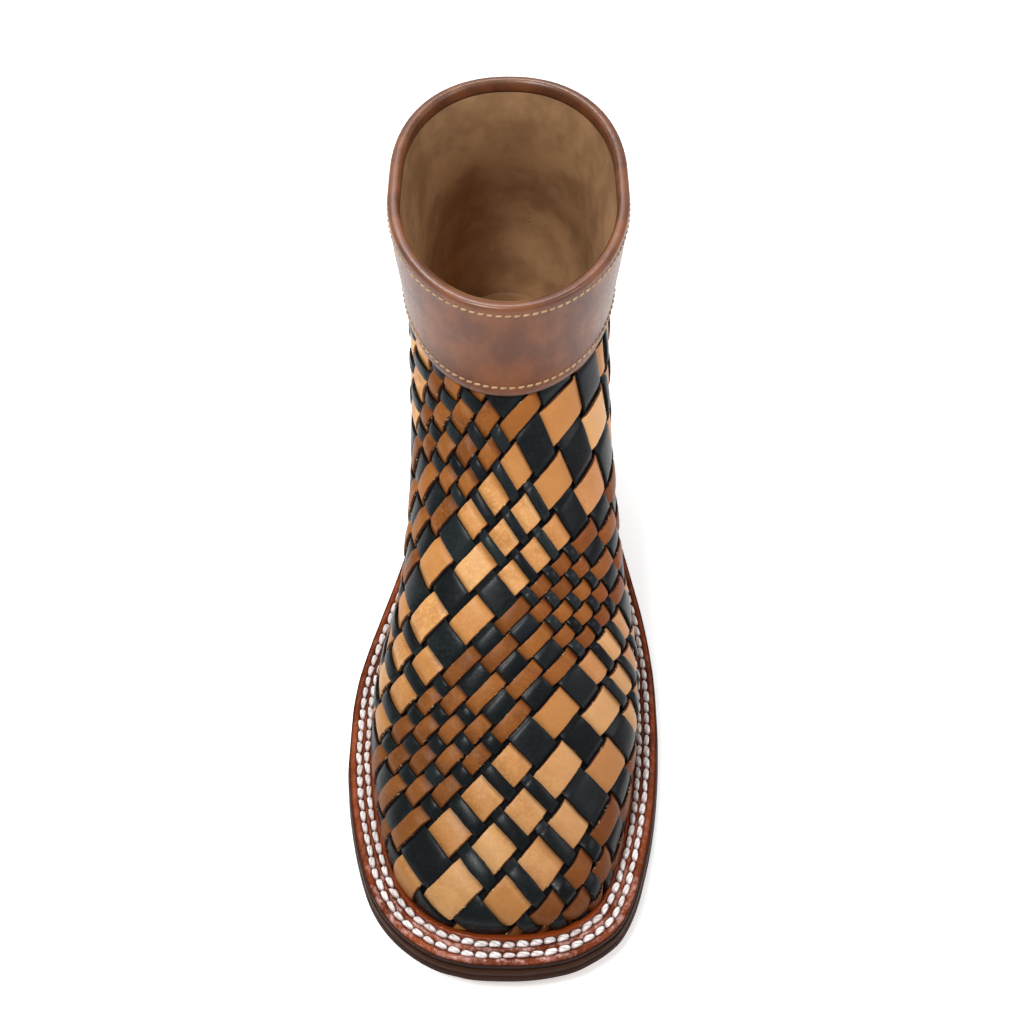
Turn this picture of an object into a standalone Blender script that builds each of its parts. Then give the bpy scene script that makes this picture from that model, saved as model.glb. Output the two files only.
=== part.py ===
# Woven leather ankle boot, left foot: welted sole, stacked heel and a hollow woven upper.
# Millimetres throughout; x grows to the lateral side, s runs back from the toe tip, z up from the floor.
import bmesh
import bpy
import numpy as np
from mathutils.geometry import delaunay_2d_cdt

# Sole: length, layers, toe spring and heel rise, and how far each layer's bottom and top edges stand out
SOLE_LENGTH = 302.0
GAP = 0.3
OUTSOLE, MIDSOLE, WELT_THICK = 4.7, 3.7, 3.5
WELT_TOP = OUTSOLE + MIDSOLE + WELT_THICK + 2 * GAP
TOE_SPRING, SPRING_END = 9.0, 72.0
HEEL_RISE, RISE_FROM, RISE_TO = 31.5, 98.0, 272.0
OUTSOLE_FLARE, MIDSOLE_FLARE = (1.6, 1.0), (0.8, 0.4)
OUTSOLE_BEVEL, MIDSOLE_BEVEL, WELT_BEVEL = 0.8, 0.4, 0.8
FLARE_FROM, FLARE_TO, REAR_FLARE = 110.0, 170.0, 0.2
SOLE_RUNGS = (0, 0.6, 2, 4.5, 8, 13, 20, 29, 40, 55, SPRING_END, 85, RISE_FROM, 110, 122, 135, 148, 161, 174, 187,
              200, 213, 226, 239, 252, 263, 272, 280, 287, 293, 297.5, 300.5, SOLE_LENGTH)
# Heel: place, hollow and lean of the breast, rubber lift, inset at the top and taper down to the floor
HEEL_BREAST, BREAST_HOLLOW, BREAST_LEAN, TOP_LIFT = 231.0, 5.0, 2.0, 6.0
HEEL_INSET, HEEL_TAPER, HEEL_RUNGS, BREAST_POINTS = 0.8, 2.6, 17, 7
# Last: axis shifts of toe and shaft, heights over which foot turns to shaft and ankle to collar, half widths
TOE_AXIS, TOE_AXIS_END, SHAFT_AXIS, SHAFT_AXIS_FROM, SHAFT_AXIS_TO = 2.5, 60.0, 1.8, 110.0, 190.0
SHAFT_FROM, SHAFT_TO, COLLAR_FROM, COLLAR_TO = 75.0, 135.0, 118.0, 158.0
ANKLE_HALF, COLLAR_HALF, BACK_POWER = 36.5, 41.0, 2.2
# Upper: wall, clearance to overlays, heights of strip tops, corners, plain border and foot from the last
WALL, CLEAR = 2.4, 0.4
STRIP_HIGH, STRIP_LOW, RECESS, FOOT_LIFT = 0.7, -1.1, -0.95, -0.25
TOP_SHARE, CORNER_MARGIN, TOP_MARGIN, MOST_CELL = 0.62, 1.6, 1.8, 0.3
# Collar band and backstay: height or half width, height of the face from the last, drop of its edges
BAND_HIGH, BAND_OUT, BAND_EDGE_DROP, BAND_ROUND = 32.0, 1.5, 0.5, 0.03
STAY_HALF, STAY_OUT, STAY_EDGE_DROP, STAY_ROUND, STAY_FROM, STAY_SEEK = 8.0, 1.4, 0.6, 0.85, 0.02, 0.7
INSOLE_INSET, INSOLE_EDGE = 0.2, 0.6
# Counts of points along the rings, and the levels of the rows
WELT_COUNT, FOOT_COUNT, TOP_COUNT, INNER_COUNT, BAND_COUNT, INSOLE_COUNT = 96, 85, 53, 60, 56, 64
STAY_LEVELS = np.linspace(0, 1, 10)
BAND_PARTS = (0.0, 0.25, 0.5, 0.75, 1.0)
INNER_LEVELS = (0.0, 0.06, 0.13, 0.22, 0.32, 0.44, 0.56, 0.67, 0.78, 0.89, 1.0)
# Rough length of the upper along u and v, for well shaped triangles
PATTERN_SIZE = np.array([330.0, 190.0])
# Middle of the whole part's plan
CENTRE_X, CENTRE_S = 0.15, 150.36

# Sole plan at the welt's edge: distance from the toe, medial x, lateral x
SOLE_PLAN = (
    (0.0, 2.5, 2.5), (0.45, -9.5, 11.0), (1.5, -14.9, 17.6), (3.0, -20.3, 23.2), (5.8, -26.2, 28.9),
    (9.0, -31.0, 33.9), (13.5, -36.2, 38.9), (20.0, -41.6, 42.9), (27.0, -45.6, 45.9), (36.0, -49.0, 48.7),
    (50.0, -52.9, 52.3), (66.0, -55.9, 55.1), (82.0, -57.4, 56.8), (97.0, -57.4, 57.6), (110.0, -56.3, 57.7),
    (123.0, -53.4, 56.8), (138.0, -48.8, 54.6), (155.0, -43.2, 50.8), (175.0, -37.4, 46.0), (197.0, -33.8, 41.4),
    (220.0, -33.4, 38.6), (245.0, -34.4, 37.2), (265.0, -33.6, 35.8), (281.0, -28.8, 30.6), (292.0, -21.3, 23.0),
    (299.0, -11.5, 13.3), (302.0, 1.0, 1.0),
)
# Welt shown outside the upper: distance from the toe, width
WELT_WIDTH = (
    (0.0, 11.4), (14.0, 11.0), (30.0, 9.9), (60.0, 9.5), (100.0, 9.3), (140.0, 8.8), (180.0, 8.0), (225.0, 6.5),
    (250.0, 5.2), (302.0, 5.0),
)
# Rings of the last, feather line to collar: level, front s from the feather, front z, back s from the
# feather, back z, length and power of the front rounding, length of the back rounding, share of own shape
RINGS = (
    (0.00, 0.0, 19.0, 0.0, 43.9, 60, 2.4, 40, 0.00), (0.05, 0.2, 24.5, 2.0, 54.0, 66, 2.4, 40, 0.05),
    (0.10, 3.5, 30.0, 3.4, 65.0, 76, 2.3, 40, 0.30), (0.16, 11.0, 35.5, 3.8, 77.0, 84, 2.2, 40, 0.75),
    (0.22, 21.0, 40.0, 2.8, 89.0, 92, 2.1, 40, 1.00), (0.30, 36.0, 47.0, 0.6, 100.0, 100, 2.0, 42, 1.00),
    (0.38, 53.0, 56.0, -2.0, 110.0, 104, 2.0, 44, 1.00), (0.47, 73.0, 67.5, -4.2, 119.0, 104, 2.0, 46, 1.00),
    (0.56, 93.0, 79.5, -5.6, 127.0, 98, 2.0, 48, 1.00), (0.65, 113.0, 92.5, -6.4, 134.0, 88, 2.0, 50, 1.00),
    (0.74, 131.0, 107.0, -6.6, 140.0, 76, 2.0, 52, 1.00), (0.83, 144.0, 122.0, -6.2, 145.5, 66, 2.0, 54, 1.00),
    (0.91, 152.0, 138.0, -5.4, 150.5, 60, 2.0, 55, 1.00), (1.00, 156.0, 157.0, -4.0, 157.0, 58, 2.0, 56, 1.00),
)
# Foot body at mid height: distance from the toe, medial x, lateral x
BODY = (
    (11.0, -30.2, 37.0), (30.0, -36.3, 41.0), (50.0, -41.7, 44.8), (80.0, -45.5, 48.4), (95.0, -44.7, 48.6),
    (110.0, -41.7, 47.3), (120.0, -39.2, 45.9), (130.0, -37.1, 44.2), (150.0, -34.8, 41.6), (175.0, -33.8, 39.6),
    (200.0, -33.6, 38.5), (230.0, -33.0, 37.4), (260.0, -32.4, 36.0), (302.0, -31.5, 34.5),
)
# The two families of woven strips on the flattened upper: direction in degrees, place of strip 0,
# pitch of a wide strip, pitch of a narrow strip, which of each eight strips are wide
COLOURED = (-43.15, 264.68, 13.7, 6.85, (0, 1, 2))
BLACK = (43.17, -58.44, 13.7, 6.85, (5, 6, 7))
# How the strips on the vamp wander off straight lines on the flattened upper: middle and reach of that area, where it
# fades, then the powers of both plane coordinates with the millimetres off across either family
DRIFT_MIDDLE, DRIFT_REACH, DRIFT_FADE, DRIFT_STEPS = (158.0, -214.0), (50.0, 58.0), 3.2, 25
DRIFT = (
    (0, 0, 1.57, 0.80), (0, 1, -0.72, -1.02), (0, 2, -4.12, 4.64), (0, 3, -0.06, -0.59), (1, 0, 1.27, -3.14),
    (1, 1, 4.91, 7.58), (1, 2, -1.90, 6.83), (2, 0, 2.09, 1.44), (2, 1, -0.34, 2.35), (3, 0, -1.77, -0.45),
)


def curve(rows, at, column):
    """Monotone cubic through one column of a table, against its first column."""
    t = np.array([row[0] for row in rows], float)
    y = np.array([row[column] for row in rows], float)
    h, m = np.diff(t), np.zeros(len(t))
    d = np.diff(y) / h
    m[0], m[-1] = d[0], d[-1]
    for k in range(1, len(t) - 1):
        if d[k - 1] * d[k] > 0:
            m[k] = (h[k - 1] + h[k]) * 3 / ((2 * h[k] + h[k - 1]) / d[k - 1] + (h[k] + 2 * h[k - 1]) / d[k])
    q = np.clip(at, t[0], t[-1])
    k = np.clip(np.searchsorted(t, q, side="right") - 1, 0, len(t) - 2)
    w = (q - t[k]) / h[k]
    return ((2 * w**3 - 3 * w**2 + 1) * y[k] + (w**3 - 2 * w**2 + w) * h[k] * m[k]
            + (3 * w**2 - 2 * w**3) * y[k + 1] + (w**3 - w**2) * h[k] * m[k + 1])


def smooth(q):
    q = np.clip(q, 0, 1)
    return q * q * (3 - 2 * q)


def sole_under(s):
    """Height of the outsole's underside: toe spring, flat tread, rise to the heel."""
    spring = TOE_SPRING * np.clip((SPRING_END - s) / SPRING_END, 0, 1) ** 2
    return spring + HEEL_RISE * smooth((s - RISE_FROM) / (RISE_TO - RISE_FROM))


TURN_PLAN = tuple((float(np.arccos(1 - 2 * s / SOLE_LENGTH) / np.pi), m, l) for s, m, l in SOLE_PLAN)


def sole_edge(turn):
    """Plan of the sole: turn -1..1, medial negative, 0 at the toe and 1 at the heel."""
    t = np.abs(turn)
    s = SOLE_LENGTH * (1 - np.cos(np.pi * t)) / 2
    return np.where(turn < 0, curve(TURN_PLAN, t, 1), curve(TURN_PLAN, t, 2)), s


def inset_edge(turn, inset):
    """The sole's plan moved inwards by inset, which may vary along it."""
    step = 1e-3
    x, s = sole_edge(turn)
    xa, sa = sole_edge(np.where(turn - step < -1, turn - step + 2, turn - step))
    xb, sb = sole_edge(np.where(turn + step > 1, turn + step - 2, turn + step))
    length = np.hypot(xb - xa, sb - sa)
    return x - inset * (sb - sa) / length, s + inset * (xb - xa) / length


def feather_table():
    turn = np.linspace(-1, 1, 721)
    _, s = sole_edge(turn)
    x, s = inset_edge(turn, curve(WELT_WIDTH, s, 1))
    return turn, x, s


FEATHER_TURN, FEATHER_X, FEATHER_S = feather_table()
FRONT_S, BACK_S = float(FEATHER_S.min()), float(FEATHER_S.max())


def feather_x(u):
    """x of the feather line at u, where |u| sets the same share of its own length on both sides."""
    found = np.zeros_like(u)
    for side in (-1, 1):
        part = FEATHER_TURN * side >= 0
        order = np.argsort(FEATHER_S[part])
        share = (FEATHER_S[part][order] - FRONT_S) / (BACK_S - FRONT_S)
        t = np.arccos(1 - 2 * np.clip(share, 0, 1)) / np.pi
        x = np.interp(np.abs(u), t, FEATHER_X[part][order])
        found = np.where(u * side >= 0, x, found)
    return found


def last_point(u, v):
    """The upper's middle surface: u -1..1 from back seam round the front ridge (0), v feather to collar."""
    front, front_z, back, back_z = (curve(RINGS, v, k) for k in (1, 2, 3, 4))
    nose, power, tail, own = (curve(RINGS, v, k) for k in (5, 6, 7, 8))
    front, back = front + FRONT_S, back + BACK_S
    share = (1 - np.cos(np.pi * np.abs(u))) / 2
    s = front + (back - front) * share
    ends = sole_under(FRONT_S), sole_under(BACK_S)
    sag = sole_under(s) - ends[0] - (ends[1] - ends[0]) * share
    z = front_z + (back_z - front_z) * share + sag * (1 - v) ** 3
    centre = (TOE_AXIS * (1 - smooth(s / TOE_AXIS_END))
              + SHAFT_AXIS * smooth((s - SHAFT_AXIS_FROM) / (SHAFT_AXIS_TO - SHAFT_AXIS_FROM)))
    side = np.where(u < 0, -1.0, 1.0)
    half = np.where(u < 0, curve(BODY, s, 1), curve(BODY, s, 2)) - centre
    shaft = ANKLE_HALF + (COLLAR_HALF - ANKLE_HALF) * smooth((z - COLLAR_FROM) / (COLLAR_TO - COLLAR_FROM))
    up = smooth((z - SHAFT_FROM) / (SHAFT_TO - SHAFT_FROM))
    half = half * (1 - up) + side * shaft * up
    round_front = (1 - (1 - np.clip((s - front) / nose, 0, 1)) ** power) ** (1 / power)
    round_back = (1 - (1 - np.clip((back - s) / tail, 0, 1)) ** BACK_POWER) ** (1 / BACK_POWER)
    x = feather_x(u) * (1 - own) + (centre + half * round_front * round_back) * own
    return np.stack([x, s, z], -1)


def wrap(u):
    """u carried on across the back seam."""
    return np.where(u > 1, u - 2, np.where(u < -1, u + 2, u))


def last_offset(u, v, off):
    """A point of the last moved out along its normal."""
    u, v = np.asarray(u, float), np.asarray(v, float)
    step = 2e-3
    along = last_point(wrap(u + step), v) - last_point(wrap(u - step), v)
    low, high = np.clip(v - step, 0, 1), np.clip(v + step, 0, 1)
    normal = np.cross(along, last_point(u, high) - last_point(u, low))
    normal /= np.linalg.norm(normal, axis=-1)[..., None]
    return last_point(u, v) + normal * np.broadcast_to(off, u.shape)[..., None]


# Flattening of the upper, so that strips can keep their widths: grid, top level and steps, how much stiffer the
# vamp is and where that fades, limits of an edge's weight, and the fan it starts from
FLAT_U, FLAT_V, FLAT_TOP, FLAT_STEPS = 81, 24, 0.86, 150
VAMP_WEIGHT, VAMP_END, VAMP_FADE = 15.0, 70.0, 90.0
LEAST_WEIGHT, MOST_WEIGHT = 0.02, 20.0
FAN_INNER, FAN_WIDE, FAN_TURN = 55.0, 95.0, 0.8 * np.pi
# Way back from the plane to the last: Newton steps, longest step, reach past the edges, and what counts as found
NEWTON_STEPS, MOST_MOVE, PAST_EDGE, FOUND_WITHIN = 12, 0.05, 0.04, 0.02


def flatten():
    """As rigid as possible flattening of the last, stiffest on the vamp. Returns a grid of plane points."""
    grid = np.meshgrid(np.linspace(-1, 1, FLAT_U), np.linspace(0, FLAT_TOP, FLAT_V), indexing="ij")
    u, v = (a.ravel() for a in grid)
    points = last_point(u, v)
    i, j = (a.ravel() for a in np.meshgrid(np.arange(FLAT_U - 1), np.arange(FLAT_V - 1), indexing="ij"))
    a = i * FLAT_V + j
    b, c, d = a + FLAT_V, a + FLAT_V + 1, a + 1
    odd = ((i + j) % 2 == 1)[:, None]
    faces = np.concatenate([np.where(odd, np.stack([a, b, c], 1), np.stack([a, b, d], 1)),
                            np.where(odd, np.stack([a, c, d], 1), np.stack([b, c, d], 1))])
    weight = 1 + VAMP_WEIGHT * (1 - smooth((points[faces].mean(1)[:, 1] - VAMP_END) / VAMP_FADE))
    e1, e2 = points[faces[:, 1]] - points[faces[:, 0]], points[faces[:, 2]] - points[faces[:, 0]]
    length = np.linalg.norm(e1, axis=1)
    x_axis = e1 / length[:, None]
    normal = np.cross(e1, e2)
    y_axis = np.cross(normal / np.linalg.norm(normal, axis=1)[:, None], x_axis)
    local = np.zeros((len(faces), 3, 2))
    local[:, 1, 0], local[:, 2, 0], local[:, 2, 1] = length, (e2 * x_axis).sum(1), (e2 * y_axis).sum(1)
    stiff, edges = np.eye(len(points)) * 1e-9, []
    for k in range(3):
        i, j = (k + 1) % 3, (k + 2) % 3
        p, q = local[:, i] - local[:, k], local[:, j] - local[:, k]
        cot = (p * q).sum(1) / np.abs(p[:, 0] * q[:, 1] - p[:, 1] * q[:, 0])
        cot = np.clip(cot, LEAST_WEIGHT, MOST_WEIGHT) * weight
        m, n = faces[:, i], faces[:, j]
        np.add.at(stiff, (m, m), cot)
        np.add.at(stiff, (n, n), cot)
        np.add.at(stiff, (m, n), -cot)
        np.add.at(stiff, (n, m), -cot)
        edges.append((m, n, cot, local[:, j] - local[:, i]))
    stiff[0, 0] *= 1.001
    inverse = np.linalg.inv(stiff)
    radius, angle = FAN_INNER + (1 - v) * FAN_WIDE, u * FAN_TURN
    flat = np.stack([radius * np.sin(angle), -radius * np.cos(angle)], 1)
    for _ in range(FLAT_STEPS):
        fit = sum(cot[:, None, None] * (flat[n] - flat[m])[:, :, None] * e[:, None, :] for m, n, cot, e in edges)
        turn = np.arctan2(fit[:, 1, 0] - fit[:, 0, 1], fit[:, 0, 0] + fit[:, 1, 1])
        cos, sin = np.cos(turn), np.sin(turn)
        pull = np.zeros_like(flat)
        for m, n, cot, e in edges:
            force = cot[:, None] * np.stack([cos * e[:, 0] - sin * e[:, 1], sin * e[:, 0] + cos * e[:, 1]], 1)
            np.add.at(pull, n, force)
            np.add.at(pull, m, -force)
        flat = inverse @ (pull - pull.mean(0))
    return flat.reshape(FLAT_U, FLAT_V, 2)


FLAT = flatten()


def cubic(grid, at):
    """Catmull-Rom weights: the four grid rows round a place and their shares."""
    k = np.clip(np.floor(at).astype(int), 0, grid - 2)
    f = at - k
    rows = [k - 1, k, k + 1, k + 2]
    share = [(-f**3 + 2 * f**2 - f) / 2, (3 * f**3 - 5 * f**2 + 2) / 2,
             (-3 * f**3 + 4 * f**2 + f) / 2, (f**3 - f**2) / 2]
    return rows, share


def flat_point(u, v):
    """Place on the flattened upper of (u, v), carried on smoothly a little past its edges."""
    rows, row_share = cubic(FLAT_U, (np.asarray(u) + 1) / 2 * (FLAT_U - 1))
    columns, column_share = cubic(FLAT_V, np.asarray(v) / FLAT_TOP * (FLAT_V - 1))
    total = 0
    for i, p in zip(rows, row_share):
        for j, q in zip(columns, column_share):
            ic, jc = np.clip(i, 0, FLAT_U - 1), np.clip(j, 0, FLAT_V - 1)
            value = FLAT[ic, jc]
            past_i = FLAT[ic, jc] - FLAT[np.clip(2 * ic - i, 0, FLAT_U - 1), jc]
            past_j = FLAT[ic, jc] - FLAT[ic, np.clip(2 * jc - j, 0, FLAT_V - 1)]
            value = value + np.where((i != ic)[..., None], past_i, 0) + np.where((j != jc)[..., None], past_j, 0)
            total = total + value * (p * q)[..., None]
    return total


def strip_axes():
    angles = [np.radians(family[0]) for family in (COLOURED, BLACK)]
    return [np.array([np.cos(angle), np.sin(angle)]) for angle in angles]


def strip_edge(index, family):
    """Place of the low edge of strip number index, across its family."""
    _, start, wide, narrow, wides = family
    pitches = [wide if k in wides else narrow for k in range(8)]
    index = np.asarray(index)
    whole = np.floor_divide(index, 8)
    return start + whole * sum(pitches) + np.concatenate([[0], np.cumsum(pitches)])[index - whole * 8]


def drifted(straight):
    """Where points that lie on straight strips come to on the flattened upper, once the strips wander."""
    back = np.linalg.inv(np.stack(strip_axes())).T
    place = straight
    for _ in range(DRIFT_STEPS):
        x, y = ((place - DRIFT_MIDDLE) / DRIFT_REACH).T
        fade = np.exp(-((x**2 + y**2) / DRIFT_FADE) ** 2)
        off = sum((x**a * y**b * fade)[:, None] * (coloured, black) for a, b, coloured, black in DRIFT)
        place = straight - off @ back
    return place


def on_last(targets):
    """(u, v) of points of the flattened upper, by Newton steps from the nearest grid point."""
    nodes = FLAT.reshape(-1, 2)
    near = np.array([np.argmin(((nodes - t) ** 2).sum(1)) for t in targets])
    u = (near // FLAT_V) / (FLAT_U - 1) * 2.0 - 1
    v = (near % FLAT_V) / (FLAT_V - 1) * FLAT_TOP
    step = 1e-4
    for _ in range(NEWTON_STEPS):
        here = flat_point(u, v)
        du = (flat_point(u + step, v) - here) / step
        dv = (flat_point(u, v + step) - here) / step
        miss = targets - here
        det = du[:, 0] * dv[:, 1] - du[:, 1] * dv[:, 0]
        move_u = (miss[:, 0] * dv[:, 1] - miss[:, 1] * dv[:, 0]) / det
        move_v = (du[:, 0] * miss[:, 1] - du[:, 1] * miss[:, 0]) / det
        u = np.clip(u + np.clip(move_u, -MOST_MOVE, MOST_MOVE), -1 - PAST_EDGE, 1 + PAST_EDGE)
        v = np.clip(v + np.clip(move_v, -MOST_MOVE, MOST_MOVE), -PAST_EDGE, FLAT_TOP + PAST_EDGE)
    good = np.linalg.norm(flat_point(u, v) - targets, axis=1) < FOUND_WITHIN
    return u, v, good


def level_at(u, height):
    """The ring level at which the last reaches a height, for each u."""
    low, high = np.zeros_like(u), np.ones_like(u)
    for _ in range(30):
        middle = (low + high) / 2
        under = last_point(u, middle)[..., 2] < height
        low, high = np.where(under, middle, low), np.where(under, high, middle)
    return (low + high) / 2


def band_foot(u, extra=0.0):
    """Ring level of the collar band's lower edge, moved up by extra millimetres."""
    return level_at(np.asarray(u, float), RINGS[-1][2] - BAND_HIGH + extra)


def stay_edge(v, half=STAY_HALF):
    """u at which the last is half a backstay away from the back seam, medial side and lateral side alike."""
    v = np.asarray(v, float)
    back = last_point(np.ones_like(v), v)
    low, high = np.full_like(v, STAY_SEEK), np.ones_like(v)
    for _ in range(30):
        middle = (low + high) / 2
        away = np.linalg.norm(last_point(middle, v) - back, axis=-1) > half
        low, high = np.where(away, middle, low), np.where(away, high, middle)
    return (low + high) / 2


class Shape:
    """Vertices and faces of one solid, in millimetres."""

    def __init__(self):
        self.points, self.faces = [], []

    def add(self, points):
        start = len(self.points)
        self.points.extend(np.asarray(points, float).reshape(-1, 3))
        return list(range(start, len(self.points)))

    def strip(self, low, high, closed=True):
        """Quads between two rows of equal count."""
        count = len(low)
        for k in range(count if closed else count - 1):
            n = (k + 1) % count
            self.faces.append((low[k], low[n], high[n], high[k]))

    def zip_rows(self, low, low_at, high, high_at):
        """Triangles between two open rows that share their ends' places, whatever their counts."""
        i = j = 0
        while i < len(low) - 1 or j < len(high) - 1:
            if j == len(high) - 1 or (i < len(low) - 1 and low_at[i + 1] <= high_at[j + 1]):
                self.faces.append((low[i], low[i + 1], high[j]))
                i += 1
            else:
                self.faces.append((low[i], high[j + 1], high[j]))
                j += 1

    def make(self, name, colour, roughness=0.5):
        kept = [tuple(dict.fromkeys(int(k) for k in face)) for face in self.faces]
        mesh = bpy.data.meshes.new(name)
        points = np.array(self.points) - (CENTRE_X, CENTRE_S, 0)
        mesh.from_pydata((points / 1000).tolist(), [], [face for face in kept if len(face) > 2])
        built = bmesh.new()
        built.from_mesh(mesh)
        bmesh.ops.recalc_face_normals(built, faces=built.faces)
        built.to_mesh(mesh)
        built.free()
        mesh.shade_smooth()
        material = bpy.data.materials.new(name)
        material.use_nodes = True
        shader = material.node_tree.nodes["Principled BSDF"]
        shader.inputs["Base Color"].default_value = (*colour, 1)
        shader.inputs["Roughness"].default_value = roughness
        mesh.materials.append(material)
        obj = bpy.data.objects.new(name, mesh)
        bpy.context.scene.collection.objects.link(obj)
        return obj


def layer(rungs, low, high, flare, bevel):
    """A full-length sole layer with broken edges, its caps cut into rungs across the plan."""
    shape, rows = Shape(), []
    turn = np.concatenate([-rungs[::-1], rungs[1:-1]])
    _, at = sole_edge(turn)
    fore = 1 - (1 - REAR_FLARE) * smooth((at - FLARE_FROM) / (FLARE_TO - FLARE_FROM))
    for out, inset, level, lift in ((flare[0], bevel, low, 0.0), (flare[0], 0.0, low, bevel),
                                    (flare[1], 0.0, high, -bevel), (flare[1], bevel, high, 0.0)):
        x, s = inset_edge(turn, inset - out * fore)
        rows.append(shape.add(np.stack([x, s, sole_under(s) + level + lift], -1)))
    for a, b in zip(rows, rows[1:]):
        shape.strip(a, b)
    count, half = len(turn), len(rungs) - 1
    for row in (rows[0], rows[-1]):
        for k in range(half):
            far, near = (half + k + 1) % count, (half + k) % count
            shape.faces.append((row[half - k], row[half - k - 1], row[far], row[near]))
    return shape


def clear_scene():
    for obj in list(bpy.data.objects):
        bpy.data.objects.remove(obj, do_unlink=True)


def build_sole():
    rungs = np.arccos(1 - 2 * np.array(SOLE_RUNGS) / SOLE_LENGTH) / np.pi
    middle = OUTSOLE + GAP
    layer(rungs, 0.0, OUTSOLE, OUTSOLE_FLARE, OUTSOLE_BEVEL).make("outsole", (0.09, 0.05, 0.03), 0.6)
    layer(rungs, middle, middle + MIDSOLE, MIDSOLE_FLARE, MIDSOLE_BEVEL).make("midsole", (0.12, 0.065, 0.04), 0.55)


def build_welt():
    """A ring round the upper's foot, from the sole's edge in to the feather line."""
    shape = Shape()
    turn = np.linspace(-1, 1, WELT_COUNT + 1)[:-1]
    _, at = sole_edge(turn)
    width = curve(WELT_WIDTH, at, 1) - GAP
    low, high, edge = WELT_TOP - WELT_THICK, WELT_TOP, 0.0 * width
    profile = ((width, low), (edge, low), (edge, high - WELT_BEVEL), (edge + WELT_BEVEL, high), (width, high))
    rows = []
    for inset, height in profile:
        x, s = inset_edge(turn, inset)
        rows.append(shape.add(np.stack([x, s, sole_under(s) + height], -1)))
    for a, b in zip(rows, rows[1:] + rows[:1]):
        shape.strip(a, b)
    shape.make("welt", (0.25, 0.07, 0.025), 0.3)


def heel_plan(breast, inset):
    """Loop round the heel: lateral side, back, medial side, then across the hollow breast."""
    start = np.arccos(1 - 2 * breast / SOLE_LENGTH) / np.pi
    turn = np.linspace(start, 1, HEEL_RUNGS)
    x, s = inset_edge(np.concatenate([turn[:-1], -turn[::-1]]), np.full(2 * HEEL_RUNGS - 1, inset))
    across = np.linspace(-1, 1, BREAST_POINTS + 2)[1:-1]
    hollow = breast + BREAST_HOLLOW * (1 - across**2)
    return np.append(x, (x[-1] + x[0] + (x[0] - x[-1]) * across) / 2), np.append(s, hollow)


def build_heel():
    """Stacked leather heel under the outsole, on a rubber top lift that stands on the floor."""
    for name, colour, rough in (("heel_top_lift", (0.02, 0.02, 0.022), 0.75), ("heel", (0.11, 0.06, 0.035), 0.5)):
        shape, rows = Shape(), []
        for part in (0.0, 0.5, 1.0):
            low, high = (0.0, TOP_LIFT) if name == "heel_top_lift" else (TOP_LIFT + GAP, HEEL_RISE)
            taper = 1 - (low + (high - low) * part) / HEEL_RISE
            x, s = heel_plan(HEEL_BREAST + BREAST_LEAN * taper, HEEL_INSET + HEEL_TAPER * taper)
            top = TOP_LIFT if name == "heel_top_lift" else sole_under(s) - GAP
            rows.append(shape.add(np.stack([x, s, low + (top - low) * part + 0 * x], -1)))
        for a, b in zip(rows, rows[1:]):
            shape.strip(a, b)
        for row in (rows[0], rows[-1]):
            lateral, medial = row[:HEEL_RUNGS], row[HEEL_RUNGS - 1:2 * HEEL_RUNGS - 1][::-1]
            shape.faces.append((*row[2 * HEEL_RUNGS - 1:], lateral[0], lateral[1], medial[1], medial[0]))
            for k in range(1, HEEL_RUNGS - 1):
                shape.faces.append((lateral[k], lateral[k + 1], medial[k + 1], medial[k]))
        shape.make(name, colour, rough)


def strip_numbers():
    """For each family, the numbers of the strips that cross the upper."""
    reach = FLAT.reshape(-1, 2) @ np.stack(strip_axes()).T
    numbers = np.arange(-80, 80)
    spans = []
    for k, family in enumerate((COLOURED, BLACK)):
        edges = strip_edge(numbers, family)
        spans.append(numbers[(edges > reach[:, k].min() - 15) & (edges < reach[:, k].max() + 15)])
    return spans


def in_weave(u, v, margin):
    """True where the woven wall lies at least a margin inside the feather line, backstay and collar band."""
    ring, level = np.clip(u, -1, 1), np.clip(v, 0, 1)
    here = last_point(ring, level)
    top = last_point(ring, band_foot(ring, -CLEAR))[..., 2]
    off_foot = np.linalg.norm(here - last_point(ring, np.zeros_like(ring)), axis=-1)
    off_stay = np.abs(u) < stay_edge(level, STAY_HALF + CLEAR + margin)
    return (v > 0) & off_stay & (here[..., 2] < top - margin) & (off_foot > margin)


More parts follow.
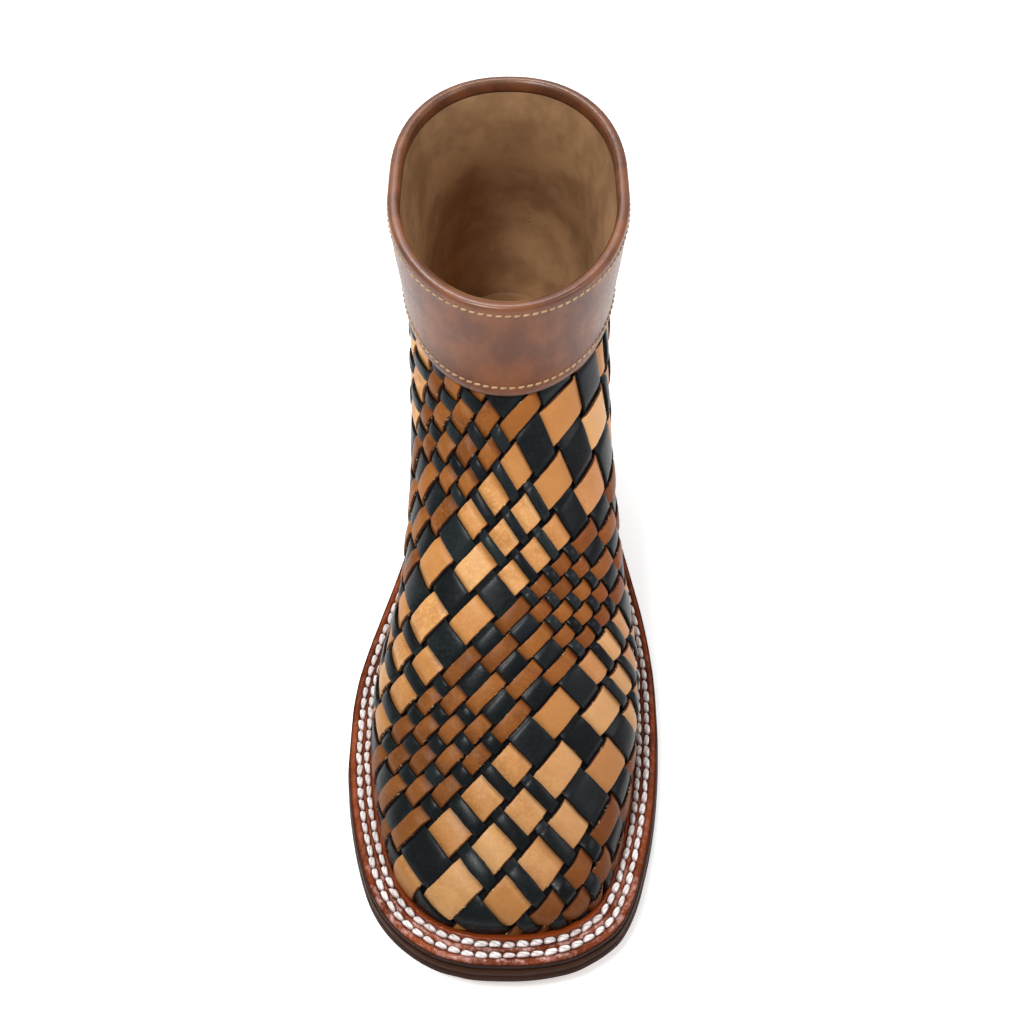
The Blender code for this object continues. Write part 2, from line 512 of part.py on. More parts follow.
def weave(place, lift):
    """Adds the low corners and raised tops of the strips to the lists, and returns the lines that join them."""
    strips_a, strips_b = strip_numbers()
    grid_a, grid_b = (n.ravel() for n in np.meshgrid(strips_a, strips_b, indexing="ij"))
    to_flat = np.linalg.inv(np.stack(strip_axes()))
    crossings = np.stack([strip_edge(grid_a, COLOURED), strip_edge(grid_b, BLACK)], 1) @ to_flat.T
    u, v, found = on_last(drifted(crossings))
    at, node, lines = {}, {}, []
    for a, b, p, q in zip(grid_a.tolist(), grid_b.tolist(), u, v):
        at[a, b] = (p, q)
    for a, b, p, q, kept in zip(grid_a.tolist(), grid_b.tolist(), u, v, found & in_weave(u, v, CORNER_MARGIN)):
        if kept:
            node[a, b] = len(place)
            place.append((p, q))
            lift.append(STRIP_LOW)
    for (a, b), here in node.items():
        lines += [(here, node[other]) for other in ((a + 1, b), (a, b + 1)) if other in node]
    for a in strips_a[:-1].tolist():
        for b in strips_b[:-1].tolist():
            corners = np.array([at[a, b], at[a + 1, b], at[a + 1, b + 1], at[a, b + 1]])
            if np.ptp(corners[:, 0]) > MOST_CELL or np.ptp(corners[:, 1]) > MOST_CELL:
                continue
            coloured_over = (a + b) % 2 == 0
            side = corners[[0, 3]] if coloured_over else corners[[0, 1]]
            wide = a % 8 in COLOURED[4] if coloured_over else b % 8 in BLACK[4]
            spread = (side.mean(0) - corners.mean(0)) * (TOP_SHARE if wide else 0)
            tops = [corners.mean(0) + spread, corners.mean(0) - spread] if wide else [corners.mean(0)]
            kept = [p for p in tops if in_weave(*np.array(p)[:, None], TOP_MARGIN)[0]]
            if len(kept) == 2:
                lines.append((len(place), len(place) + 1))
            place += [tuple(p) for p in kept]
            lift += [STRIP_HIGH] * len(kept)
    return lines


def build_upper():
    """One hollow wall: woven relief outside, smooth inside, open at the collar and underneath."""
    shape, place, lift = Shape(), [], []
    lines = weave(place, lift)

    def border_row(u, v, off):
        start = len(place)
        place.extend(zip(u, v))
        lift.extend(np.broadcast_to(off, len(u)))
        return list(range(start, len(place)))

    # Border of the woven patch, clear of the overlays: feather line, backstay sides, collar band's foot
    back_top = float(band_foot(np.array([1.0]), -CLEAR)[0])
    side_v = STAY_LEVELS * back_top
    side_u = stay_edge(side_v, STAY_HALF + CLEAR)
    foot_u, top_u = np.linspace(-1, 1, FOOT_COUNT) * side_u[0], np.linspace(-1, 1, TOP_COUNT) * side_u[-1]
    foot_lift = np.full(FOOT_COUNT, FOOT_LIFT)
    foot_lift[[0, -1]] = RECESS
    foot = border_row(foot_u, np.zeros(FOOT_COUNT), foot_lift)
    top_v = band_foot(top_u, -CLEAR)
    top_v[[0, -1]] = back_top
    top = border_row(top_u, top_v, RECESS)
    right = [foot[-1], *border_row(side_u[1:-1], side_v[1:-1], RECESS), top[-1]]
    left = [foot[0], *border_row(-side_u[1:-1], side_v[1:-1], RECESS), top[0]]
    border = foot + right[1:] + top[::-1][1:] + left[::-1][1:-1]
    lines += list(zip(border, border[1:] + border[:1]))
    corners, _, faces, source, _, _ = delaunay_2d_cdt(
        [tuple(p) for p in np.array(place) * PATTERN_SIZE], lines, [border], 1, 1e-7)
    uv = np.array([tuple(c) for c in corners]) / PATTERN_SIZE
    patch = shape.add(last_offset(uv[:, 0], uv[:, 1], [lift[found[0]] if found else STRIP_LOW for found in source]))
    made = {k: patch[n] for n, found in enumerate(source) for k in found}
    shape.faces += [tuple(patch[k] for k in face) for face in faces]

    # Plain wall under the backstay and the collar band
    back = shape.add(last_offset(np.ones_like(side_v), side_v, RECESS))
    shape.strip([made[k] for k in right], back, closed=False)
    shape.strip(back, [made[k] for k in left], closed=False)
    rim_u = np.append(top_u, 1.0)
    row = [made[k] for k in top] + [back[-1]]
    for part in BAND_PARTS[1:]:
        level = np.append(top_v, back_top)
        level = np.maximum(level, band_foot(rim_u)) * (1 - part) + part
        higher = shape.add(last_offset(rim_u, level, RECESS))
        shape.strip(row, higher)
        row = higher

    # Lasted edge, down inside the welt, and the inner wall
    edge_u = np.append(foot_u, 1.0)
    edge = [made[k] for k in foot] + [back[0]]
    hem = shape.add(on_midsole([shape.points[k] for k in edge]))
    shape.strip(hem, edge)
    inner_u = np.linspace(-1, 1, INNER_COUNT + 1)[1:]
    inner = [shape.add(last_offset(inner_u, np.full(INNER_COUNT, level), -WALL)) for level in INNER_LEVELS]
    inner.insert(0, shape.add(on_midsole([shape.points[k] for k in inner[0]])))
    for low, high in zip(inner, inner[1:]):
        shape.strip(high, low)
    for outer, outer_u, inside in ((row, rim_u, inner[-1]), (hem, edge_u, inner[0])):
        ring = [outer[-1], *outer]
        shape.zip_rows(ring, [-1.0, *outer_u], [inside[-1], *inside], [-1.0, *inner_u])
    shape.make("upper", (0.3, 0.16, 0.08), 0.5)


def on_midsole(points):
    """The same points brought down to the top of the midsole, a gap above it."""
    points = np.array(points)
    points[:, 2] = sole_under(points[:, 1]) + WELT_TOP - WELT_THICK
    return points


def build_band():
    """Collar band: a ring of plain leather over the top of the woven wall."""
    shape, rows = Shape(), []
    u = np.linspace(-1, 1, BAND_COUNT + 1)[1:]
    foot, face, edge, under = band_foot(u), BAND_OUT, BAND_OUT - BAND_EDGE_DROP, RECESS + GAP
    face_parts = (BAND_ROUND, *BAND_PARTS[1:-1], 1 - BAND_ROUND)
    profile = [(0.0, edge), *((part, face) for part in face_parts), (1.0, edge),
               *((part, under) for part in BAND_PARTS[::-1])]
    for part, off in profile:
        rows.append(shape.add(last_offset(u, foot + (1 - foot) * part, off)))
    for a, b in zip(rows, rows[1:] + rows[:1]):
        shape.strip(a, b)
    shape.make("collar_band", (0.2, 0.075, 0.03), 0.4)


def build_stay():
    """Backstay: a narrow strap of plain leather down the back seam."""
    shape, rows = Shape(), []
    top = float(band_foot(np.array([1.0]), -CLEAR)[0])
    levels = np.concatenate([[STAY_FROM], STAY_LEVELS[1:-1] * top, [top - 0.1 * CLEAR / BAND_HIGH]])
    edge, under, drop = stay_edge(levels), RECESS + GAP, STAY_OUT - STAY_EDGE_DROP
    for share, off in ((-1, under), (-1, drop), (-STAY_ROUND, STAY_OUT), (0, STAY_OUT), (STAY_ROUND, STAY_OUT),
                       (1, drop), (1, under), (0, under)):
        side = -1.0 if share < 0 else 1.0
        rows.append(shape.add(last_offset(side * (1 - (1 - edge) * abs(share)), levels, off)))
    for a, b in zip(rows, rows[1:] + rows[:1]):
        shape.strip(b, a, closed=False)
    shape.faces += [tuple(row[0] for row in rows), tuple(row[-1] for row in rows)]
    shape.make("backstay", (0.2, 0.075, 0.03), 0.4)


def build_insole():
    """Insole board and sock inside the upper, resting over the midsole."""
    shape, rows, half = Shape(), [], INSOLE_COUNT // 2
    u = np.linspace(-1, 1, INSOLE_COUNT + 1)[:-1]
    for inset, height in ((0.0, 0.0), (0.0, WELT_THICK - INSOLE_EDGE), (INSOLE_EDGE, WELT_THICK)):
        rim = last_offset(u, np.zeros_like(u), np.full_like(u, -WALL - GAP - INSOLE_INSET - inset))
        rim[:, 2] = sole_under(rim[:, 1]) + WELT_TOP - WELT_THICK + height
        rows.append(shape.add(rim))
    for a, b in zip(rows, rows[1:]):
        shape.strip(a, b)
    for row, flip in ((rows[0], True), (rows[-1], False)):
        for k in range(half):
            quad = (half - k, (half - k - 1) % INSOLE_COUNT, (half + k + 1) % INSOLE_COUNT, half + k)
            shape.faces.append(tuple(row[n] for n in (quad[::-1] if flip else quad)))
    shape.make("insole", (0.45, 0.3, 0.18), 0.7)


clear_scene()
build_sole()
build_welt()
build_heel()
build_insole()
build_upper()
build_band()
build_stay()
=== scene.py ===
import bpy
import numpy as np
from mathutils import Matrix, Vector


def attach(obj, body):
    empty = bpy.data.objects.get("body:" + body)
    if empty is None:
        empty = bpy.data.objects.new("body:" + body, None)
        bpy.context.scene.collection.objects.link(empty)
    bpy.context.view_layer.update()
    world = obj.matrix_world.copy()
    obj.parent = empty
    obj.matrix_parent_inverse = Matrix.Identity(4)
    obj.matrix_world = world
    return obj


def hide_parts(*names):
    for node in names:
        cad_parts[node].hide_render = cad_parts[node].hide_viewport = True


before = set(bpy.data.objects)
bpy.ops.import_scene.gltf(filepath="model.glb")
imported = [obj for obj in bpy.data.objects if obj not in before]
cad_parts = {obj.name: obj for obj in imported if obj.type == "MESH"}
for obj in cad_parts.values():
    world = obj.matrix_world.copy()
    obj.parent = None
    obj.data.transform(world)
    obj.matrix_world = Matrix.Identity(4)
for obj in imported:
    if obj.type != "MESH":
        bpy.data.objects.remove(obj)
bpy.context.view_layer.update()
random = np.random.default_rng(7)

# Sizes shared with the solids
SOLE_LENGTH = 302
OUTSOLE, MIDSOLE, WELT_THICK, GAP = 4.7, 3.7, 3.5, 0.3
WELT_TOP = OUTSOLE + MIDSOLE + WELT_THICK + 2 * GAP
TOE_SPRING, SPRING_END = 9, 72
HEEL_RISE, RISE_FROM, RISE_TO = 31.5, 98, 272
FLARE_FROM, FLARE_TO = 110, 170
HEEL_BREAST, BREAST_HOLLOW, BREAST_LEAN, TOP_LIFT = 231, 5, 2, 6
HEEL_INSET, HEEL_TAPER = 0.8, 2.6
ANKLE_HALF, COLLAR_HALF = 36.5, 41
WALL, BAND_HIGH, STAY_HALF = 2.4, 32, 8
CENTRE_X, CENTRE_S = 0.15, 150.36

# Distance from the toe, medial x and lateral x of the sole's outline
SOLE_PLAN = (
    (0, 2.5, 2.5), (0.45, -9.5, 11), (1.5, -14.9, 17.6), (3, -20.3, 23.2), (5.8, -26.2, 28.9),
    (9, -31, 33.9), (13.5, -36.2, 38.9), (20, -41.6, 42.9), (27, -45.6, 45.9), (36, -49, 48.7),
    (50, -52.9, 52.3), (66, -55.9, 55.1), (82, -57.4, 56.8), (97, -57.4, 57.6), (110, -56.3, 57.7),
    (123, -53.4, 56.8), (138, -48.8, 54.6), (155, -43.2, 50.8), (175, -37.4, 46), (197, -33.8, 41.4),
    (220, -33.4, 38.6), (245, -34.4, 37.2), (265, -33.6, 35.8), (281, -28.8, 30.6), (292, -21.3, 23),
    (299, -11.5, 13.3), (302, 1, 1),
)
# Distance from the toe, width of the welt outside the upper
WELT_WIDTH = (
    (0, 11.4), (14, 11), (30, 9.9), (60, 9.5), (100, 9.3), (140, 8.8), (180, 8), (225, 6.5), (250, 5.2),
    (302, 5),
)
# Rings of the last, foot to collar: level, front s from the foot's and z, the same at the back, length and
# power of the front's rounding, length of the back's, share of its own shape
RINGS = (
    (0, 0, 19, 0, 43.9, 60, 2.4, 40, 0), (0.05, 0.2, 24.5, 2, 54, 66, 2.4, 40, 0.05),
    (0.1, 3.5, 30, 3.4, 65, 76, 2.3, 40, 0.3), (0.16, 11, 35.5, 3.8, 77, 84, 2.2, 40, 0.75),
    (0.22, 21, 40, 2.8, 89, 92, 2.1, 40, 1), (0.3, 36, 47, 0.6, 100, 100, 2, 42, 1),
    (0.38, 53, 56, -2, 110, 104, 2, 44, 1), (0.47, 73, 67.5, -4.2, 119, 104, 2, 46, 1),
    (0.56, 93, 79.5, -5.6, 127, 98, 2, 48, 1), (0.65, 113, 92.5, -6.4, 134, 88, 2, 50, 1),
    (0.74, 131, 107, -6.6, 140, 76, 2, 52, 1), (0.83, 144, 122, -6.2, 145.5, 66, 2, 54, 1),
    (0.91, 152, 138, -5.4, 150.5, 60, 2, 55, 1), (1, 156, 157, -4, 157, 58, 2, 56, 1),
)
BAND_FOOT = RINGS[-1][2] - BAND_HIGH
# Distance from the toe, medial x and lateral x of the foot's body
BODY = (
    (11, -30.2, 37), (30, -36.3, 41), (50, -41.7, 44.8), (80, -45.5, 48.4), (95, -44.7, 48.6),
    (110, -41.7, 47.3), (120, -39.2, 45.9), (130, -37.1, 44.2), (150, -34.8, 41.6), (175, -33.8, 39.6),
    (200, -33.6, 38.5), (230, -33, 37.4), (260, -32.4, 36), (302, -31.5, 34.5),
)

# Both strip families: direction in degrees, place of strip 0, pitch of a wide and of a narrow strip, which of
# each eight are wide, share of the pitch that a wide and a narrow strip fill
COLOURED = (-43.15, 264.68, 13.7, 6.85, (0, 1, 2), 0.83, 0.91)
BLACK = (43.17, -58.44, 13.7, 6.85, (5, 6, 7), 0.83, 0.64)
FAMILIES, STRIPS = (COLOURED, BLACK), np.arange(-80, 80)
# How the strips on the vamp wander: middle and reach of that area, where it fades, then the powers of both
# plane coordinates with the millimetres off across either family
DRIFT_MIDDLE, DRIFT_REACH, DRIFT_FADE, DRIFT_STEPS = (158, -214), (50, 58), 3.2, 25
DRIFT = (
    (0, 0, 1.57, 0.8), (0, 1, -0.72, -1.02), (0, 2, -4.12, 4.64), (0, 3, -0.06, -0.59), (1, 0, 1.27, -3.14),
    (1, 1, 4.91, 7.58), (1, 2, -1.9, 6.83), (2, 0, 2.09, 1.44), (2, 1, -0.34, 2.35), (3, 0, -1.77, -0.45),
)
STRIP_THICK, MIDDLE_LIFT, SWING = 1.15, -0.25, 0.6
# How much less a wide strip bends than a narrow one, and the length in which a strip dives under the next
STIFF, DIVE = 0.4, 2.1
# Arch along a strip over its crossing, and fall across it to both edges: of a wide strip, of a narrow one
ARCH, FALL = (0.22, 0.42), (0.1, 0.26)
# (inwards, down) of the cut edge that faces the toe and of the other one
TOE_EDGE, FAR_EDGE = (0.38, 0.5), (0.12, 0.14)
LOWEST, BACKING = -1.9, -2.05
# How near the middle of a strip and of a crossing the upper has to come, and how far strips run on under the
# collar band and inside the welt
STRIP_NEAR, CROSSING_NEAR, UNDER_BAND, UNDER_WELT = 14, 16, 4.5, 2.4


def curve(rows, at, column):
    """Monotone cubic through one column of a table, against its first column."""
    t, y = np.array([(row[0], row[column]) for row in rows], float).T
    h, m = np.diff(t), np.zeros(len(t))
    d = np.diff(y) / h
    m[0], m[-1] = d[0], d[-1]
    for k in range(1, len(t) - 1):
        if d[k - 1] * d[k] > 0:
            m[k] = (h[k - 1] + h[k]) * 3 / ((2 * h[k] + h[k - 1]) / d[k - 1] + (h[k] + 2 * h[k - 1]) / d[k])
    q = np.clip(at, t[0], t[-1])
    k = np.clip(np.searchsorted(t, q, side="right") - 1, 0, len(t) - 2)
    w = (q - t[k]) / h[k]
    return ((2 * w**3 - 3 * w**2 + 1) * y[k] + (w**3 - 2 * w**2 + w) * h[k] * m[k]
            + (3 * w**2 - 2 * w**3) * y[k + 1] + (w**3 - w**2) * h[k] * m[k + 1])


def smooth(q):
    q = np.clip(q, 0, 1)
    return q * q * (3 - 2 * q)


def sole_under(s):
    """Height of the outsole's underside."""
    spring = TOE_SPRING * np.clip((SPRING_END - s) / SPRING_END, 0, 1) ** 2
    return spring + HEEL_RISE * smooth((s - RISE_FROM) / (RISE_TO - RISE_FROM))


def turn_at(share):
    """The turn at a share of the way from the toe to the back."""
    return np.arccos(1 - 2 * share) / np.pi


TURN_PLAN = tuple((turn_at(s / SOLE_LENGTH), medial, lateral) for s, medial, lateral in SOLE_PLAN)


def sole_edge(turn):
    """Point of the sole's outline. turn is 0 at the toe, 1 or -1 at the back, below 0 on the medial side."""
    t = np.abs(turn)
    s = SOLE_LENGTH * (1 - np.cos(np.pi * t)) / 2
    return np.where(turn < 0, curve(TURN_PLAN, t, 1), curve(TURN_PLAN, t, 2)), s


def wrap(turn):
    return np.where(turn > 1, turn - 2, np.where(turn < -1, turn + 2, turn))


def inset_edge(turn, inset):
    """Point of the sole's outline, moved inwards."""
    step = 1e-3
    x, s = sole_edge(turn)
    (xa, sa), (xb, sb) = sole_edge(wrap(turn - step)), sole_edge(wrap(turn + step))
    length = np.hypot(xb - xa, sb - sa)
    return x - inset * (sb - sa) / length, s + inset * (xb - xa) / length


# The line where the upper meets the welt
FEATHER_TURN = np.linspace(-1, 1, 721)
FEATHER_X, FEATHER_S = inset_edge(FEATHER_TURN, curve(WELT_WIDTH, sole_edge(FEATHER_TURN)[1], 1))
FRONT_S, BACK_S = float(FEATHER_S.min()), float(FEATHER_S.max())


def feather_x(u):
    found = np.zeros_like(u)
    for side in (-1, 1):
        part = FEATHER_TURN * side >= 0
        order = np.argsort(FEATHER_S[part])
        share = (FEATHER_S[part][order] - FRONT_S) / (BACK_S - FRONT_S)
        t = turn_at(np.clip(share, 0, 1))
        x = np.interp(np.abs(u), t, FEATHER_X[part][order])
        found = np.where(u * side >= 0, x, found)
    return found


def ring_point(u, v):
    """Point of the last: u round it from the back, v from its foot up to the collar."""
    front, front_z, back, back_z, nose, power, tail, own = (curve(RINGS, v, k) for k in range(1, 9))
    front, back = front + FRONT_S, back + BACK_S
    share = (1 - np.cos(np.pi * np.abs(u))) / 2
    s = front + (back - front) * share
    ends = sole_under(FRONT_S), sole_under(BACK_S)
    sag = sole_under(s) - ends[0] - (ends[1] - ends[0]) * share
    z = front_z + (back_z - front_z) * share + sag * (1 - v) ** 3
    centre = 2.5 * (1 - smooth(s / 60)) + 1.8 * smooth((s - 110) / 80)
    side = np.where(u < 0, -1, 1)
    half = np.where(u < 0, curve(BODY, s, 1), curve(BODY, s, 2)) - centre
    shaft = ANKLE_HALF + (COLLAR_HALF - ANKLE_HALF) * smooth((z - 118) / 40)
    up = smooth((z - 75) / 60)
    half = half * (1 - up) + side * shaft * up
    round_front = (1 - (1 - np.clip((s - front) / nose, 0, 1)) ** power) ** (1 / power)
    round_back = (1 - (1 - np.clip((back - s) / tail, 0, 1)) ** 2.2) ** (1 / 2.2)
    x = feather_x(u) * (1 - own) + (centre + half * round_front * round_back) * own
    return np.stack([x, s, z], -1)


def last_point(u, v):
    """The last's surface, carried on straight down below the feather line."""
    u, v = wrap(np.asarray(u, float)), np.asarray(v, float)
    point = ring_point(u, np.clip(v, 0, 1))
    low = v < 0
    if low.any():
        foot, above = (ring_point(u[low], np.full(low.sum(), height)) for height in (0.0, 0.02))
        point[low] = foot + (above - foot) * (v[low] / 0.02)[:, None]
    return point


def unit(vectors):
    return vectors / np.linalg.norm(vectors, axis=-1)[..., None]


def normals(u, v):
    step = 2e-3
    v = np.clip(v, 0, 1)
    along = last_point(u + step, v) - last_point(u - step, v)
    low, high = np.clip(v - step, 0, 1), np.clip(v + step, 0, 1)
    return unit(np.cross(along, last_point(u, high) - last_point(u, low)))


def last_offset(u, v, off):
    u = np.asarray(u, float)
    v = np.broadcast_to(np.asarray(v, float), u.shape)
    return last_point(u, v) + normals(u, v) * np.broadcast_to(off, u.shape)[..., None]


# Flattening of the upper, as in the solids
FLAT_U, FLAT_V, FLAT_TOP, FLAT_STEPS, VAMP_WEIGHT = 81, 24, 0.86, 150, 15


def flat_cross(a, b):
    return a[:, 0] * b[:, 1] - a[:, 1] * b[:, 0]


def flatten():
    """The upper's surface laid out flat with little stretch, least of all on the vamp."""
    u, v = np.linspace(-1, 1, FLAT_U), np.linspace(0, FLAT_TOP, FLAT_V)
    u, v = (a.ravel() for a in np.meshgrid(u, v, indexing="ij"))
    points = last_point(u, v)
    i, j = (a.ravel() for a in np.meshgrid(np.arange(FLAT_U - 1), np.arange(FLAT_V - 1), indexing="ij"))
    a = i * FLAT_V + j
    b, c, d = a + FLAT_V, a + FLAT_V + 1, a + 1
    odd = (i + j) % 2 == 1
    faces = np.concatenate([np.stack([a, b, np.where(odd, c, d)], 1),
                            np.stack([np.where(odd, a, b), c, d], 1)])
    corners = points[faces]
    weight = 1 + VAMP_WEIGHT * (1 - smooth((corners.mean(1)[:, 1] - 70) / 90))
    sides = corners - corners[:, :1]
    x_axis = unit(sides[:, 1])
    y_axis = np.cross(unit(np.cross(sides[:, 1], sides[:, 2])), x_axis)
    local = sides @ np.stack([x_axis, y_axis], 2)
    stiff, edges = np.eye(len(points)) * 1e-9, []
    for k in range(3):
        i, j = (k + 1) % 3, (k + 2) % 3
        p, q = local[:, i] - local[:, k], local[:, j] - local[:, k]
        cot = np.clip((p * q).sum(1) / np.abs(flat_cross(p, q)), 0.02, 20) * weight
        m, n = faces[:, i], faces[:, j]
        for row, column, part in ((m, m, cot), (n, n, cot), (m, n, -cot), (n, m, -cot)):
            np.add.at(stiff, (row, column), part)
        edges.append((m, n, cot, local[:, j] - local[:, i]))
    stiff[0, 0] *= 1.001
    inverse = np.linalg.inv(stiff)
    radius, angle = 55 + (1 - v) * 95, u * np.pi * 0.8
    flat = np.stack([radius * np.sin(angle), -radius * np.cos(angle)], 1)
    for _ in range(FLAT_STEPS):
        fit = sum(cot[:, None, None] * (flat[n] - flat[m])[:, :, None] * e[:, None, :]
                  for m, n, cot, e in edges)
        turn = np.arctan2(fit[:, 1, 0] - fit[:, 0, 1], fit[:, 0, 0] + fit[:, 1, 1])
        cos, sin = np.cos(turn), np.sin(turn)
        pull = np.zeros_like(flat)
        for m, n, cot, e in edges:
            force = cot[:, None] * np.stack([cos * e[:, 0] - sin * e[:, 1], sin * e[:, 0] + cos * e[:, 1]], 1)
            np.add.at(pull, n, force)
            np.add.at(pull, m, -force)
        flat = inverse @ (pull - pull.mean(0))
    return flat.reshape(FLAT_U, FLAT_V, 2)


FLAT = flatten()
# The same grid carried on by three cells past each edge, so that strips can run on under the overlays
PAST = 3


def carried_on(grid):
    for _ in range(2 * PAST):
        grid = np.concatenate([2 * grid[:1] - grid[1:2], grid, 2 * grid[-1:] - grid[-2:-1]]).swapaxes(0, 1)
    return grid


WIDE_FLAT = carried_on(FLAT)


# Shares of four grid points in a row, by powers of the way between the middle two
CUBIC = np.array([[0, -1, 2, -1], [2, 0, -5, 3], [0, 1, 4, -3], [0, 0, -1, 1]]) / 2


def cubic(count, at):
    """The first of the four grid points about each place, their shares, and how these change."""
    k = np.clip(np.floor(at).astype(int), 1, count - 3)
    f = at - k
    return k - 1, CUBIC @ [f**0, f, f**2, f**3], CUBIC[:, 1:] @ [f**0, 2 * f, 3 * f**2]


def flat_point(u, v):
    """Place on the flattened upper of (u, v), with its change along u and along v."""
    per_u, per_v = (FLAT_U - 1) / 2, (FLAT_V - 1) / FLAT_TOP
    row, row_share, row_slope = cubic(FLAT_U + 2 * PAST, (u + 1) * per_u + PAST)
    column, column_share, column_slope = cubic(FLAT_V + 2 * PAST, v * per_v + PAST)
    here, du, dv = 0, 0, 0
    for i in range(4):
        for j in range(4):
            value = WIDE_FLAT[row + i, column + j]
            here = here + value * (row_share[i] * column_share[j])[:, None]
            du = du + value * (row_slope[i] * column_share[j] * per_u)[:, None]
            dv = dv + value * (row_share[i] * column_slope[j] * per_v)[:, None]
    return here, du, dv


def drifted(straight):
    """Where points of straight strips come to lie on the flattened upper, once the strips wander."""
    place = straight
    for _ in range(DRIFT_STEPS):
        x, y = ((place - DRIFT_MIDDLE) / DRIFT_REACH).T
        fade = np.exp(-((x**2 + y**2) / DRIFT_FADE) ** 2)
        off = sum((x**a * y**b * fade)[:, None] * (coloured, black) for a, b, coloured, black in DRIFT)
        place = straight - off @ TO_FLAT
    return place


def on_last(targets):
    """(u, v) of points of the flattened upper, by Newton steps from the nearest grid point."""
    nodes = WIDE_FLAT.reshape(-1, 2).astype(np.float32)
    size, wide_v = (nodes**2).sum(1), FLAT_V + 2 * PAST
    near = np.concatenate([np.argmin(size - 2 * part @ nodes.T, axis=1)
                           for part in np.array_split(targets.astype(np.float32), 16)])
    u = (near // wide_v - PAST) / (FLAT_U - 1) * 2 - 1
    v = (near % wide_v - PAST) / (FLAT_V - 1) * FLAT_TOP
    for _ in range(7):
        here, du, dv = flat_point(u, v)
        miss = targets - here
        det = flat_cross(du, dv)
        u = np.clip(u + np.clip(flat_cross(miss, dv) / det, -0.05, 0.05), -1.06, 1.06)
        v = np.clip(v + np.clip(flat_cross(du, miss) / det, -0.08, 0.08), -0.1, 0.96)
    here, _, _ = flat_point(u, v)
    return u, v, np.linalg.norm(here - targets, axis=1) < 0.05


AXES = np.stack([(np.cos(np.radians(f[0])), np.sin(np.radians(f[0]))) for f in FAMILIES])
TO_FLAT = np.linalg.inv(AXES).T


def strip_edges(family):
    """Place of each strip's near edge across its family."""
    pitches = [family[2] if k in family[4] else family[3] for k in range(8)]
    return family[1] + STRIPS // 8 * sum(pitches) + np.cumsum([0, *pitches])[STRIPS % 8]


def halved(low, high, holds):
    """Where a test that holds at low and fails at high changes, for each item."""
    for _ in range(30):
        middle = (low + high) / 2
        held = holds(middle)
        low, high = np.where(held, middle, low), np.where(held, high, middle)
    return (low + high) / 2


def band_foot(u):
    """The v of the collar band's lower edge at each u."""
    return halved(np.zeros_like(u), np.ones_like(u), lambda v: last_point(u, v)[..., 2] < BAND_FOOT)


def stay_edge(v):
    """The u of the backstay's edge at each v."""
    back = last_point(np.ones_like(v), v)
    return halved(np.full_like(v, 0.7), np.ones_like(v),
                  lambda u: np.linalg.norm(last_point(u, v) - back, axis=-1) > STAY_HALF)


STAY_TOP = float(band_foot(np.array([1.0]))[0])


def wave(at, seed, length):
    """Smooth wandering between about -1 and 1, with features of about the given length."""
    own = np.random.default_rng(seed)
    total = 0
    for k in range(4):
        total = total + np.sin(at / (length * own.uniform(0.12, 0.35)) + own.uniform(0, 6.28))
    return total / 3


class Shape:
    """Points, faces and named values of one piece, in millimetres."""

    def __init__(self):
        self.points, self.faces, self.values, self.count = [], [], {}, 0

    def grid(self, points, closed=False, keep=True, **values):
        """A grid of points (along, across, 3) as quads. keep marks the points that stay."""
        n, m = points.shape[:2]
        index = np.arange(n * m).reshape(n, m) + self.count
        a, b = np.meshgrid(np.arange(n - 1), np.arange(m if closed else m - 1), indexing="ij")
        c = (b + 1) % m
        quads = np.stack([index[a, b], index[a + 1, b], index[a + 1, c], index[a, c]], -1).reshape(-1, 4)
        kept = np.broadcast_to(keep, (n, m)).ravel()
        self.points.append(points.reshape(-1, 3))
        self.faces.append(quads[kept[quads - self.count].all(1)])
        for name, value in values.items():
            self.values.setdefault(name, []).append(np.broadcast_to(value, (n, m)).ravel())
        self.count += n * m

    def make(self, name, material, node, slot):
        """Make it one smooth piece that rides on the root and stands for a node."""
        points, faces = np.concatenate(self.points), np.concatenate(self.faces)
        used, corners = np.unique(faces, return_inverse=True)
        points = (points[used] - (CENTRE_X, CENTRE_S, 0)) / 1000
        mesh = bpy.data.meshes.new(name)
        mesh.from_pydata(points.tolist(), [], corners.reshape(faces.shape).tolist(), shade_flat=False)
        for value_name, value in self.values.items():
            layer = mesh.attributes.new(value_name, "FLOAT", "POINT")
            layer.data.foreach_set("value", np.concatenate(value)[used].astype(np.float32))
        mesh.materials.append(material)
        obj = bpy.data.objects.new(name, mesh)
        bpy.context.scene.collection.objects.link(obj)
        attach(obj, "root")
        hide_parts(node)


def linear(colour):
    """Linear light of a screen colour given as three numbers to 255."""
    return tuple(((c / 255 + 0.055) / 1.055) ** 2.4 if c > 10 else c / 255 / 12.92 for c in colour)


class Nodes:
    """The shader nodes of a material or a world."""

    def __init__(self, owner):
        owner.use_nodes = True
        self.tree = owner.node_tree

    def feed(self, socket, value):
        if isinstance(value, bpy.types.NodeSocket):
            self.tree.links.new(value, socket)
        else:
            socket.default_value = value

    def made(self, kind, output, inputs, **settings):
        """One output of a new node, with its inputs fed."""
        node = self.tree.nodes.new("ShaderNode" + kind)
        for key, value in settings.items():
            setattr(node, key, value)
        for key, value in inputs.items():
            self.feed(node.inputs[key], value)
        return node.outputs[output]


